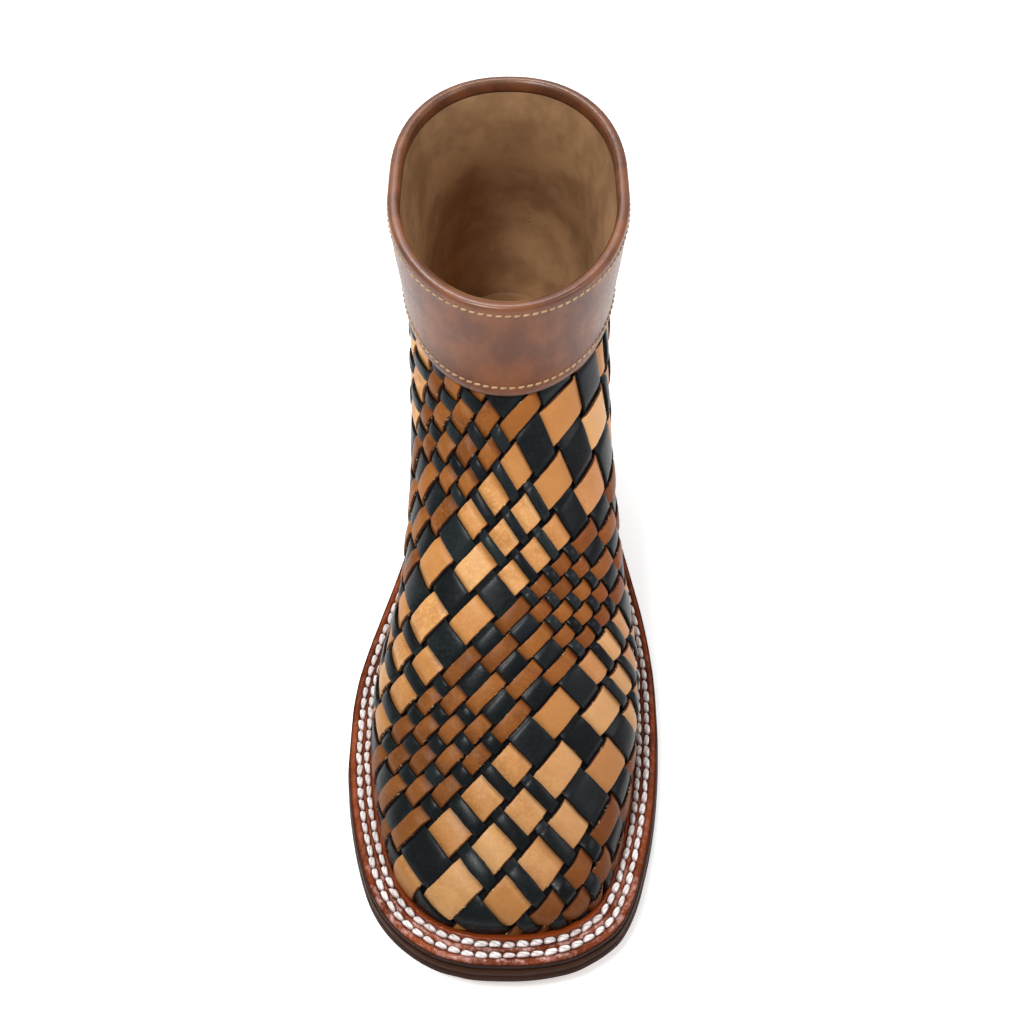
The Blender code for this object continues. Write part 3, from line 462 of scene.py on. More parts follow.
class Paint(Nodes):
    """A Principled material, built from a few kinds of node. Its colours are screen colours to 255."""

    def __init__(self, name, **plain):
        self.material = bpy.data.materials.new(name)
        super().__init__(self.material)
        self.place = self.made("TexCoord", "Object", {})
        self.set(**plain)

    def set(self, **sockets):
        for socket, value in sockets.items():
            self.feed(self.tree.nodes["Principled BSDF"].inputs[socket.replace("_", " ")], value)
        return self.material

    def values(self, *names):
        """The piece's named values, as Shape.grid was told them."""
        return [self.made("Attribute", "Fac", {}, attribute_name=name) for name in names]

    def noise(self, scale, detail=2, roughness=0.5, stretch=None, distortion=0):
        """Noise with scale features to the metre."""
        place = self.place
        if stretch:
            place = self.made("Mapping", "Vector", {"Scale": stretch, "Vector": place})
        return self.made("TexNoise", "Fac", {"Vector": place, "Scale": scale, "Detail": detail,
                                             "Roughness": roughness, "Distortion": distortion})

    def cells(self, scale):
        return self.made("TexVoronoi", "Distance", {"Vector": self.place, "Scale": scale})

    def math(self, operation, a, b=0):
        return self.made("Math", 0, {0: a, 1: b}, operation=operation)

    def plus(self, a, b):
        return self.math("ADD", a, b)

    def times(self, a, b):
        return self.math("MULTIPLY", a, b)

    def ramp(self, value, low, high, to_low=0, to_high=1):
        """Smooth change from to_low to to_high, as the value goes from low to high."""
        inputs = {"Value": value, "From Min": low, "From Max": high, "To Min": to_low, "To Max": to_high}
        return self.made("MapRange", "Result", inputs, interpolation_type="SMOOTHSTEP")

    def mix(self, share, a, b):
        a, b = ((*linear(part), 1) if isinstance(part, tuple) else part for part in (a, b))
        return self.made("Mix", 2, {0: share, 6: a, 7: b}, data_type="RGBA", clamp_factor=True)

    def layers(self, colour, *laid):
        """A colour with others laid over it, each by its own share."""
        for share, over in laid:
            colour = self.mix(share, colour, over)
        return colour

    def mottled(self, scale, detail, dark, light):
        return self.mix(self.ramp(self.noise(scale, detail, 0.6), 0.35, 0.65), dark, light)

    def bump(self, height, distance, strength, below=None):
        inputs = {"Distance": distance, "Strength": strength, "Height": height}
        if below is not None:
            inputs["Normal"] = below
        return self.made("Bump", "Normal", inputs)


def strip_paint(name, base, light, dark, far_side, cut, frayed, roughness, grain_size, gloss):
    """Leather strip: mottled grain, cut edges, painted shade in the dives and towards the bottom, and a
    painted tint of the light towards the lateral side.
    """
    paint = Paint(name, Specular_IOR_Level=gloss)
    tone, edge, deep = paint.values("tone", "edge", "deep")
    aside, height = (paint.made("SeparateXYZ", axis, {0: paint.place}) for axis in "XZ")
    mottle = paint.noise(850, 5, 0.65, distortion=0.25)
    cloud = paint.noise(120, 3, 0.55, distortion=0.4)
    veins = paint.math("ABSOLUTE", paint.math("SUBTRACT", paint.noise(380, 4, 0.6, distortion=0.7), 0.5))
    veins = paint.times(paint.ramp(veins, 0, 0.035, 1, 0), paint.ramp(cloud, 0.42, 0.6))
    worn = paint.plus(edge, paint.times(paint.noise(500, 2, 0.6), 0.3))
    specks = paint.times(paint.ramp(paint.noise(1000, 2, 0.7), 0.58, 0.65),
                         paint.ramp(edge, 0, 0.2, 1, 0))
    specks = paint.times(specks, paint.ramp(paint.noise(160, 2, 0.5), 0.46, 0.55, 0, frayed))
    grain, pores = paint.noise(grain_size, 3, 0.65), paint.cells(grain_size * 0.9)
    colour = paint.layers(
        dark,
        (paint.ramp(cloud, 0.3, 0.65), base),
        (paint.ramp(mottle, 0.45, 0.72, 0, 0.6), light),
        (paint.ramp(mottle, 0.48, 0.3, 0, 0.5), dark),
        (paint.times(veins, 0.4), light),
        # Painted light: a tint of the light that falls on the lateral side
        (paint.ramp(aside, -0.01, 0.045, 0, 0.7), far_side),
        (paint.ramp(tone, -0.2, 1, 0, 0.55), light),
        (paint.ramp(tone, 0.2, -1, 0, 0.75), dark),
        # Painted shade: darker towards the bottom of the upper
        (paint.ramp(height, 0.09, 0.015, 0, 0.5), tuple(0.62 * part for part in dark)),
        # Painted shade, in the cut colour, where the strip dives under its neighbour
        (paint.ramp(deep, 0.45, 1, 0, 0.8), cut),
        (paint.ramp(worn, 0.06, 0.3, 0.92, 0), cut),
        (specks, FIBRES),
        (paint.ramp(pores, 0.3, 0.05, 0, 0.3), dark),
    )
    relief = paint.plus(paint.times(paint.plus(grain, pores), 0.5), paint.times(veins, -0.6))
    normal = paint.bump(mottle, 0.00006, 0.5, paint.bump(cloud, 0.0003, 0.3))
    normal = paint.bump(relief, 0.00003, 0.5, normal)
    rough = paint.plus(paint.ramp(grain, 0.3, 0.7, roughness - 0.08, roughness + 0.1),
                       paint.ramp(edge, -0.1, 0.3, 0.25, 0))
    return paint.set(Base_Color=colour, Roughness=rough, Normal=normal)


FIBRES = (206, 178, 140)
# Base, light and dark colour, the painted tint of the light on the lateral side, the colour of cut edges and
# of the painted shade in the dives, fraying, roughness, grain, gloss
TAN = strip_paint("tan_strips", (214, 154, 90), (234, 184, 124), (186, 124, 64), (200, 132, 92), (74, 37, 22),
                  0.9, 0.42, 2600, 0.22)
BROWN = strip_paint("brown_strips", (144, 84, 32), (166, 104, 48), (114, 64, 25), (130, 64, 32), (52, 23, 12),
                    0.7, 0.44, 2600, 0.15)
INK = strip_paint("black_strips", (21, 27, 29), (38, 46, 48), (12, 15, 17), (29, 26, 31), (6, 6, 7),
                  0.1, 0.33, 2200, 0.15)
# The pieces of the coloured, then of the black family, wide strips first, and their leathers
LEATHERS = {"tan_strips": TAN, "brown_strips": BROWN, "wide_black_strips": INK, "narrow_black_strips": INK}


def strip_samples(low, high, over):
    """Places along a strip inside one crossing, closer together where it dives."""
    length = high - low
    ends, step = ([0, 0.7, 1.4, 2.1], 1.6) if over else ([0, 1.1, 2.2], 2.6)
    ends = [e for e in ends if e < length / 2 - 0.3]
    middle = np.linspace(ends[-1], length - ends[-1], max(2, int((length - 2 * ends[-1]) / step) + 2))
    return low + np.unique(np.round(np.concatenate([ends, middle, [length - e for e in ends[1:]]]), 4))


def strip_runs():
    """Each strip's stretches of crossings on the upper: family, place in STRIPS, crossings, all edges."""
    reach = FLAT.reshape(-1, 2) @ AXES.T
    edges = [strip_edges(family) for family in FAMILIES]
    for which in (0, 1):
        own, other = edges[which], edges[1 - which]
        for i in range(len(STRIPS) - 1):
            if own[i + 1] < reach[:, which].min() or own[i] > reach[:, which].max():
                continue
            near = np.abs(reach[:, which] - (own[i] + own[i + 1]) / 2) < STRIP_NEAR
            spots = reach[near, 1 - which]
            cells = [j for j in range(len(STRIPS) - 1)
                     if len(spots) and np.abs(spots - (other[j] + other[j + 1]) / 2).min() < CROSSING_NEAR]
            for part in np.split(cells, np.flatnonzero(np.diff(cells) > 1) + 1):
                if len(part):
                    yield which, i, part.tolist(), own, other


def ribbon(which, i, cells, own, other):
    """One strip on a stretch of crossings: its piece, its grid on the weave, heights off the last, values."""
    family, other_family, number = FAMILIES[which], FAMILIES[1 - which], int(STRIPS[i])
    wide = number % 8 in family[4]
    half = (own[i + 1] - own[i]) * family[5 if wide else 6] / 2
    half *= 1 + 0.015 * random.standard_normal()
    told = []
    for j in cells:
        over = ((number + int(STRIPS[j])) % 2 == 0) == (which == 0)
        spots = strip_samples(other[j], other[j + 1], over)[:-1]
        bend = SWING * (1 + STIFF * (int(STRIPS[j]) % 8 in other_family[4]) - STIFF * wide)
        row = (other[j], other[j + 1], bend if over else -bend, STRIPS[j])
        told.append(np.column_stack([spots, np.tile(row, (len(spots), 1))]))
    along, low, high, bend, crossing = np.concatenate(told).T
    crossing = crossing.astype(int)

    low_edge, high_edge = (FAR_EDGE, TOE_EDGE) if which == 0 else (TOE_EDGE, FAR_EDGE)
    face = np.linspace(-half + low_edge[0], half - high_edge[0], 7 if wide else 5)
    across = np.array([-half, -half, face[0], face[0] + 0.15, *face[1:-1],
                       face[-1] - 0.15, face[-1], half, half])
    seed = 1000 * which + number + 500
    wobbles = [(0.1 * wave(along, seed + long, 9) + 0.05 * wave(along, seed + short, 2))[:, None]
               for long, short in ((0, 7000), (3000, 9000))]
    share = (across / half + 1) / 2
    centre = (own[i] + own[i + 1]) / 2 + 0.12 * random.standard_normal()
    c = centre + across + wobbles[0] * (1 - share) + wobbles[1] * share
    grid = [c, np.broadcast_to(along[:, None], c.shape)]

    jitter = np.random.default_rng(seed + 20000).standard_normal(400)
    each = jitter[crossing % 400]
    over = bend > 0
    dive = np.clip(np.minimum(along - low, high - along) / DIVE, 0, 1)
    rise = np.sin(np.pi / 2 * dive) * bend
    f = (along - low) / (high - low)
    lift = MIDDLE_LIFT + rise + np.where(over, (ARCH[not wide] + 0.07 * each) * (1 - (2 * f - 1) ** 2), 0)
    tilt = 0.06 * jitter[(crossing + 131) % 400] * over * dive
    profile = -FALL[not wide] * np.abs(across / half) ** (3 if wide else 2.2)
    profile[1] -= low_edge[1]
    profile[-2] -= high_edge[1]
    profile[[2, -3]] -= 0.04
    off = lift[:, None] + profile + tilt[:, None] * (across / half)
    off[:, 0] = off[:, -1] = np.maximum(lift - STRIP_THICK, LOWEST)

    edge = np.minimum(across - face[0], face[-1] - across)
    edge[[0, 1, -2, -1]] = (-0.8, -0.4, -0.4, -0.8)
    # Painted shade: how far the strip has dived under its neighbour
    deep = np.clip(0.5 - rise / SWING * 0.5, 0, 1)[:, None]
    tone = np.clip(0.35 * jitter[7] + 0.5 * each, -1, 1)[:, None]
    piece = tuple(LEATHERS)[2 * which + (not wide)]
    grid = np.stack(grid[::-1] if which else grid, -1)
    return piece, grid, off, {"edge": edge, "deep": deep, "tone": tone}


def weave_strips():
    """Every strip of both families as a thick ribbon that goes over one crossing and under the next."""
    ribbons = [ribbon(*run) for run in strip_runs()]
    lattice = np.concatenate([grid.reshape(-1, 2) for _, grid, _, _ in ribbons])
    off = np.concatenate([heights.ravel() for _, _, heights, _ in ribbons])
    u, v, found = on_last(drifted(lattice @ TO_FLAT))
    found &= (np.abs(u) < 1.012) & (v > -0.095) & (v < 0.9)
    point = np.zeros((len(u), 3))
    point[found] = last_offset(u[found], v[found], off[found])
    found &= last_point(u, np.clip(v, 0, 1))[:, 2] < BAND_FOOT + UNDER_BAND
    found &= point[:, 2] > sole_under(point[:, 1]) + WELT_TOP - UNDER_WELT
    shapes, start = {piece: Shape() for piece in LEATHERS}, 0
    for piece, _, heights, values in ribbons:
        part = slice(start, start + heights.size)
        start += heights.size
        keep = found[part].reshape(heights.shape)
        if keep.any():
            shapes[piece].grid(point[part].reshape(*heights.shape, 3), keep=keep, closed=True, **values)
    for piece, leather in LEATHERS.items():
        shapes[piece].make(piece, leather, "upper", "woven_leather")


def ring_turns(count):
    return np.linspace(-1, 1, count + 1)[:-1]


def fine_paint(name, cloud, detail, dark, light, grain, relief, **plain):
    """Two colours in clouds, and a fine grain."""
    paint = Paint(name, **plain)
    colour = paint.mottled(cloud, detail, dark, light)
    return paint.set(Base_Color=colour, Normal=paint.bump(paint.noise(grain, 3), relief, 0.5))


def build_lining():
    """Backing sheet behind the strips, painted near black for the shade in the gaps between them, and the
    lining inside.
    """
    # Painted shade: the backing is near black for the shade seen between the strips
    backing = fine_paint("backing", 300, 3, (11, 11, 12), (20, 20, 21), 1600, 0.0001, Roughness=0.7,
                         Specular_IOR_Level=0.1)
    lining = fine_paint("lining", 60, 3, (150, 112, 76), (176, 136, 96), 1600, 0.00006, Roughness=0.7)
    for name, off, levels, paint in (("strip_backing", BACKING, np.linspace(-0.03, 0.88, 70), backing),
                                     ("lining", -WALL, np.linspace(0, 1, 70)[::-1], lining)):
        shape, turn = Shape(), ring_turns(240)
        shape.grid(np.stack([last_offset(turn, level, off) for level in levels]), closed=True)
        shape.make(name, paint, "upper", "woven_leather")


def arc_places(line, pitch):
    """Evenly spaced places along rows of x, s, z and more values: such rows, directions, the real pitch."""
    length = np.concatenate([[0], np.cumsum(np.linalg.norm(np.diff(line[:, :3], axis=0), axis=1))])
    count = int(length[-1] / pitch)
    at = (np.arange(count) + 0.5) * length[-1] / count

    def rows(at):
        return np.stack([np.interp(at, length, column) for column in line.T], 1)

    return rows(at), unit((rows(at + 0.5) - rows(at - 0.5))[:, :3]), length[-1] / count


# Place along the boot, then how far in from the welt's edge the outer and the inner row of stitches are
STITCH_ROWS = (
    (0, 3.8, 7.7), (20, 3.8, 7.4), (50, 3.8, 6.9), (100, 3.7, 6.7), (160, 3.4, 6.1), (240, 2.6, 4.7),
)
STITCH_END, STITCH_PITCH, STITCH_WIDE, STITCH_HIGH = 228, 4.6, 2, 1.75


def welt_stitches(column):
    """The row of welt stitches in one column of the table, from the medial breast round the toe."""
    end = turn_at(STITCH_END / SOLE_LENGTH)
    turn = np.linspace(-end, end, 1600)
    _, s = sole_edge(turn)
    x, s = inset_edge(turn, curve(STITCH_ROWS, s, column))
    return arc_places(np.stack([x, s, sole_under(s) + WELT_TOP], 1), STITCH_PITCH)


WELT_STITCHES = (welt_stitches(1), welt_stitches(2))


def add_stitch(shape, centre, along, up, length, width, height, yaw, slant, tone):
    """A plump two-ply thread with slanted ends that dive into the leather."""
    side = np.cross(up, along)
    cos, sin = np.cos(yaw), np.sin(yaw)
    along, side = along * cos + side * sin, side * cos - along * sin
    t = np.linspace(-1, 1, 13)[:, None]
    angle = np.linspace(-np.pi / 2, 3 * np.pi / 2, 14, endpoint=False)[None, :]
    body = (1 - np.abs(t) ** 3.2) ** 0.55 * (1 - 0.16 * t)
    side_out = np.cos(angle) * width / 2 * body
    rise = 0.2 * height - 0.62 * height * np.abs(t) ** 3.5 + np.sin(angle) * height / 2 * body
    way = t * length / 2 + slant * side_out
    points = centre + along * way[..., None] + side * side_out[..., None] + up * rise[..., None]
    shape.grid(points, closed=True, tone=tone, tip=t, around=angle)


def thread_paint(name, light, dark):
    """Thread of two plies: a slanted crease over each stitch with painted shade in it, and painted shade
    where it goes into its hole.
    """
    paint = Paint(name, Roughness=0.45)
    tip, around, tone = paint.values("tip", "around", "tone")
    crease = paint.math("SUBTRACT", around, paint.plus(paint.times(tip, 0.75), 1.75))
    crease = paint.ramp(paint.math("ABSOLUTE", crease), 0, 0.26)
    colour = paint.layers(
        light,
        (paint.ramp(paint.noise(600, 3, 0.6), 0.3, 0.55, 0.4, 0), dark),
        (paint.ramp(tone, -1, 1, 0, 0.3), dark),
        # Painted shade in the crease between the plies
        (paint.ramp(crease, 0, 1, 0.3, 0), dark),
        # Painted shade at both ends, where the thread goes into its hole
        (paint.ramp(paint.math("ABSOLUTE", tip), 0.62, 1, 0, 0.85), dark),
    )
    normal = paint.bump(crease, 0.00022, 0.8, paint.bump(paint.noise(2400, 2, 0.6), 0.00008, 0.6))
    return paint.set(Base_Color=colour, Normal=normal)


def build_welt_stitches():
    shape = Shape()
    for spots, ways, pitch in WELT_STITCHES:
        for spot, way in zip(spots, ways):
            across = np.cross(way, (0, 0, 1))
            grow, aside, longer, yaw, slant = random.standard_normal(5)
            add_stitch(shape, spot + across * 0.12 * aside, way, np.cross(across, way),
                       pitch * (1.01 + 0.04 * longer), STITCH_WIDE + 0.14 * grow, STITCH_HIGH + 0.1 * grow,
                       0.06 * yaw - 0.04, 0.3 + 0.2 * slant, random.uniform(-1, 1))
    thread = thread_paint("white_thread", (254, 247, 245), (172, 148, 143))
    shape.make("welt_stitches", thread, "welt", "welt_leather")


# What the welt's paint is told: rim, bead beside the upper, dust with a painted sheen, painted shade in the
# holes and in the crease along the upper, raised leather round the stitches, and painted shade round the
# stitches
WELT_VALUES = ("side", "bead", "dusty", "dimple", "crease", "mound", "furrow")
# (inset, height) of the rim, up from just inside the midsole
WELT_RIM = ((0.5, -0.2), (0, 0), (-0.02, 0.9), (0, 1), (0, 2.3), (0, 2.75), (0.12, 3.08), (0.3, 3.2))
RIM_INSET = 0.5


def welt_paint():
    """Waxed welt: glossy bead, dust and painted sheen at the toe, dark rim, painted shade in holes, crease,
    furrows.
    """
    paint = Paint("welt_leather", Specular_IOR_Level=0.02, Coat_Roughness=0.22)
    side, bead, dusty, dimple, crease, mound, furrow = paint.values(*WELT_VALUES)
    cloud, grain = paint.noise(240, 4, 0.6), paint.noise(1700, 3, 0.6)
    spotty = paint.plus(paint.times(cloud, 0.55), paint.times(paint.noise(620, 3, 0.65), 0.45))
    # Dust and painted sheen in patches over the grain, with a painted highlight on the raised leather round
    # the stitches
    for share in (paint.ramp(spotty, 0.44, 0.64), paint.ramp(grain, 0.34, 0.6, 0.45, 0.95),
                  paint.ramp(mound, 0, 0.8, 0.6, 1)):
        dusty = paint.times(dusty, share)
    colour = paint.layers(
        paint.mottled(60, 4, (104, 45, 21), (142, 68, 34)),
        # Pale dust with a painted sheen
        (dusty, (212, 172, 164)),
        # Painted shade in the stitch furrows and round each stitch
        (paint.times(furrow, 0.8), (52, 22, 11)),
        (bead, (136, 58, 18)),
        (side, (27, 13, 9)),
        # Painted shade in the stitch holes
        (paint.ramp(dimple, 0.2, 1, 0, 0.85), (30, 12, 8)),
        # Painted shade in the crease along the upper
        (crease, (30, 13, 9)),
    )
    normal = paint.bump(grain, 0.00006, 0.5, paint.bump(cloud, 0.0003, 0.5))
    rough = paint.plus(paint.ramp(grain, 0.3, 0.7, 0.3, 0.44), paint.times(dusty, 0.2))
    coat = paint.plus(paint.ramp(side, 0, 0.5, 0.12, 0), paint.times(bead, 0.4))
    return paint.set(Base_Color=colour, Roughness=rough, Normal=normal, Coat_Weight=coat)


def near_stitches(x, s):
    """Millimetres to the nearest hole, and distance from the nearest stitch, about 1 at its outline."""
    parts = [(row, way, way * pitch / 2) for row, way, pitch in WELT_STITCHES]
    spots, ways, reach = (np.concatenate(part) for part in zip(*parts))
    holes = np.concatenate([spots + reach, spots - reach])
    near_hole = np.hypot(x[:, None] - holes[:, 0], s[:, None] - holes[:, 1]).min(1)
    dx, ds = x[:, None] - spots[:, 0], s[:, None] - spots[:, 1]
    ahead, aside = dx * ways[:, 0] + ds * ways[:, 1], dx * ways[:, 1] - ds * ways[:, 0]
    return near_hole, np.hypot(ahead / 2.45, aside / 1.12).min(1)


def build_welt():
    """Ring with a rounded edge, two stitch furrows with holes, and a low bead beside the upper."""
    turn = ring_turns(1700)
    _, at = sole_edge(turn)
    width, out_row, in_row = curve(WELT_WIDTH, at, 1), curve(STITCH_ROWS, at, 1), curve(STITCH_ROWS, at, 2)
    fade = smooth((STITCH_END + 2 - at) / 6)
    rows, told = [], {name: [] for name in WELT_VALUES}

    def add_row(x, s, z, **values):
        rows.append(np.stack([x, s, z], 1))
        for name in WELT_VALUES:
            told[name].append(values.get(name, 0) + 0 * turn)

    for inset, height in WELT_RIM:
        x, s = inset_edge(turn, np.full_like(turn, inset))
        add_row(x, s, sole_under(s) + WELT_TOP - WELT_THICK + height, side=1 if height < 3 else 0.75)
    for share in np.linspace(0, 1, 34):
        inset = RIM_INSET + (width + 0.8 - RIM_INSET) * share
        x, s = inset_edge(turn, inset)
        near_hole, near_stitch = near_stitches(x, s)
        z = sole_under(s) + WELT_TOP - 0.2 * (1 - smooth(share / 0.1))
        furrow = fade * sum(np.exp(-((inset - row) / 0.8) ** 2) for row in (out_row, in_row))
        mound = np.exp(-((near_stitch - 1.85) / 0.5) ** 2)
        z = z - 0.4 * furrow + (0.4 + 0.16 * wave(at * 5 + inset, 31, 9)) * mound
        bead = smooth(inset - in_row - 0.9) * fade
        z = z + 0.6 * bead * (1 - 0.5 * smooth((inset - width + 0.4) / 1.2))
        pit = np.exp(-(near_hole / 0.7) ** 2)
        # Painted shade in the holes, furrows and crease; dust with a painted sheen towards the toe
        add_row(x, s, z - 0.5 * pit, mound=mound, bead=0.85 * bead, dimple=pit,
                furrow=np.maximum(0.5 * furrow, np.exp(-((near_stitch - 1.05) / 0.28) ** 2)),
                dusty=fade * (1 - bead) * (0.15 + 0.85 * (1 - smooth((at - 12) / 45))),
                crease=smooth(inset - width + 1), side=0.6 * (1 - smooth(share / 0.05)))
    shape = Shape()
    shape.grid(np.stack(rows), closed=True, **{name: np.stack(values) for name, values in told.items()})
    shape.make("welt_top", welt_paint(), "welt", "welt_leather")


def edge_paint(name, light, dark):
    """Trimmed and waxed leather edge with fine lines along it, and scuffed leather where flat."""
    paint = Paint(name, Specular_IOR_Level=0.015)
    flat, joint = paint.values("flat", "joint")
    lines, scuffs = paint.noise(140, 3, 0.55, stretch=(0.12, 0.12, 9)), paint.noise(55, 5, 0.62)
    colour = paint.layers(
        dark,
        (paint.ramp(lines, 0.25, 0.75, 0.42, 0.9), light),
        (paint.ramp(paint.noise(40, 3, 0.6), 0.45, 0.75, 0, 0.4), dark),
        (paint.times(joint, 0.8), (13, 8, 6)),
        (flat, paint.mix(paint.ramp(scuffs, 0.3, 0.7), (98, 62, 39), (122, 80, 52))),
    )
    fine = paint.noise(900, 3, 0.6, stretch=(0.3, 0.3, 2))
    normal = paint.bump(fine, 0.0001, 0.5, paint.bump(paint.mix(flat, lines, scuffs), 0.0003, 0.6))
    rough = paint.plus(paint.ramp(fine, 0.3, 0.7, 0.34, 0.54), paint.times(flat, 0.2))
    return paint.set(Base_Color=colour, Roughness=rough, Normal=normal)


def spanned(one, other, count):
    """A grid of points, straight across from one line of points to the other."""
    across = np.linspace(0, 1, count)[None, :, None]
    return one[:, None] * (1 - across) + other[:, None] * across


def sole_layer(name, node, slot, low, high, flare_low, flare_high, paint, steps):
    """A layer's side wall in steps of (share of its height, inset), and its flat top and bottom."""
    def edge(turn, share, inward):
        _, at = sole_edge(turn)
        fore = 1 - 0.8 * smooth((at - FLARE_FROM) / (FLARE_TO - FLARE_FROM))
        return inset_edge(turn, inward - (flare_low + (flare_high - flare_low) * share) * fore)

    def raised(x, s, share):
        return np.stack([x, s, sole_under(s) + low + (high - low) * share], -1)

    shape = Shape()
    turn = ring_turns(900)
    wall = [raised(*edge(turn, share, inward), share) for share, inward in steps]
    shape.grid(np.stack(wall), closed=True, flat=0)
    rung = (1 - np.cos(np.linspace(0, 1, 110) * np.pi)) / 2
    turn = np.clip(turn_at(rung), 1e-6, 1 - 1e-6)
    for share, inward in (steps[0], steps[-1]):
        plan = spanned(*(np.stack(edge(side * turn, share, inward), 1) for side in (-1, 1)), 25)
        points = raised(plan[..., 0], plan[..., 1], share)
        underside = share == 0
        shape.grid(points[:, ::-1] if underside else points, flat=float(underside))
    shape.make(name, paint, node, slot)


def build_sole():
    sole_layer("outsole_leather", "outsole", "sole_leather", 0, OUTSOLE + 0.05, 1.6, 1,
               edge_paint("outsole_edge", (60, 35, 23), (24, 13, 9)),
               ((0, 1.1), (0.05, 0.6), (0.12, 0.25), (0.25, 0.03), (0.4, 0), (0.92, 0), (1, 0.14)))
    middle = OUTSOLE + GAP
    sole_layer("midsole_leather", "midsole", "midsole_leather", middle - 0.2, middle + MIDSOLE + 0.2,
               0.9, 0.4, edge_paint("midsole_edge", (72, 44, 29), (27, 15, 11)),
               ((0, 0.14), (0.05, 0), (0.95, 0), (1, 0.14)))


# Points of a heel loop: down each side, and inside the hollow breast
HEEL_SIDE, HEEL_ACROSS, HEEL_LIFTS = 60, 24, 5


def heel_loop(level, extra):
    """Outline of the heel at a level, inset by extra: round the back and across the hollow breast."""
    taper = 1 - level / HEEL_RISE
    breast, inset = HEEL_BREAST + BREAST_LEAN * taper, HEEL_INSET + HEEL_TAPER * taper + extra
    start = turn_at(breast / SOLE_LENGTH)
    turn = np.linspace(start, 1, HEEL_SIDE)
    x, s = inset_edge(np.concatenate([turn[:-1], -turn[::-1]]), np.full(2 * HEEL_SIDE - 1, inset))
    across = np.linspace(-1, 1, HEEL_ACROSS + 2)[1:-1]
    hollow = breast + extra + BREAST_HOLLOW * (1 - across**2)
    return np.append(x, (x[-1] + x[0] + (x[0] - x[-1]) * across) / 2), np.append(s, hollow)


def rubber_paint():
    paint = Paint("rubber", Roughness=0.7)
    colour = paint.mix(paint.ramp(paint.noise(90, 3), 0.4, 0.7), (24, 24, 25), (42, 41, 40))
    return paint.set(Base_Color=colour, Normal=paint.bump(paint.noise(1500, 3, 0.6), 0.0001, 0.5))


def build_heel():
    """Stacked lifts with fine joints, and the rubber top lift."""
    shape, rows, joint = Shape(), [], []
    base = TOP_LIFT + 0.1
    steps = [((k + part) / HEEL_LIFTS, extra) for k in range(HEEL_LIFTS)
             for part, extra in ((0.02, 0.16), (0.07, 0.02), (0.5, -0.04), (0.93, 0.02), (0.98, 0.16))]
    # The first and last rows run on into the rubber and the outsole, so that no light shows between them
    for share, extra in ((-0.02, 0.5), *steps, (1.015, 0.5)):
        x, s = heel_loop(base + (HEEL_RISE - base) * share, extra)
        top = sole_under(s) - 0.05
        rows.append(np.stack([x, s, base + (top - base) * share], 1))
        joint.append(np.full(len(x), float(extra > 0.1)))
    shape.grid(np.stack(rows), closed=True, joint=np.stack(joint))
    shape.make("heel_stack", edge_paint("heel_edge", (70, 43, 29), (27, 15, 11)), "heel", "stacked_leather")
    shape, rows = Shape(), []
    for level, extra in ((0, 0.6), (0.15, 0.25), (0.5, 0), (TOP_LIFT - 0.3, 0), (TOP_LIFT, 0.2),
                         (TOP_LIFT, 2)):
        x, s = heel_loop(level, extra)
        rows.append(np.stack([x, s, np.full_like(x, level)], 1))
    shape.grid(np.stack(rows), closed=True)
    # The flat bottom, in rows from the hollow breast to the back
    lateral, medial = rows[0][:HEEL_SIDE], rows[0][2 * HEEL_SIDE - 2:HEEL_SIDE - 2:-1]
    bottom = spanned(medial, lateral, HEEL_ACROSS + 2)
    hollow = BREAST_HOLLOW * (1 - np.linspace(-1, 1, HEEL_ACROSS + 2) ** 2)
    bottom[..., 1] += hollow * np.linspace(1, 0, HEEL_SIDE)[:, None]
    shape.grid(bottom)
    shape.make("rubber_lift", rubber_paint(), "heel_top_lift", "heel_rubber")


def plain_paint():
    """Plain waxed leather, darker towards its edges."""
    paint = Paint("plain_leather", Coat_Weight=0.25, Coat_Roughness=0.25)
    (edge,) = paint.values("edge")
    colour = paint.layers(paint.mottled(60, 4, (92, 50, 28), (122, 70, 38)),
                          (paint.ramp(edge, 0, 0.8, 0.85, 0), (46, 24, 16)))
    grain = paint.noise(1200, 3, 0.6)
    relief = paint.times(paint.plus(grain, paint.cells(1100)), 0.5)
    normal = paint.bump(relief, 0.00008, 0.5, paint.bump(paint.noise(130, 2), 0.0005, 0.4))
    return paint.set(Base_Color=colour, Roughness=paint.ramp(grain, 0.3, 0.7, 0.34, 0.5), Normal=normal)


# Share of the way from the band's foot to the rim, height off the last, millimetres from the nearest edge
BAND_PROFILE = (
    (0, 0.1, 0), (0, 0.8, 0), (0.004, 1.35, 0.1), (0.02, 1.65, 0.6), (0.06, 1.7, 1.6), (0.1, 1.6, 3),
    (0.2, 1.6, 6), (0.35, 1.7, 9), (0.5, 1.75, 9), (0.65, 1.7, 9), (0.8, 1.6, 6), (0.88, 1.5, 4),
    (0.93, 1.7, 3), (0.97, 1.6, 2), (0.99, 1.2, 2), (1, 0.4, 2), (1, -1.4, 2), (0.985, -2.5, 2),
    (0.95, -2.8, 2), (0.9, -2.75, 1), (0.86, -2.5, 0),
)
# The same for the backstay, from its middle to its side edge
STAY_PROFILE = (
    (0, 1.65, 8), (0.25, 1.65, 6), (0.5, 1.55, 4), (0.75, 1.45, 2), (0.9, 1.6, 0.8), (0.97, 1.35, 0.2),
    (1, 0.95, 0), (1, 0.1, 0),
)


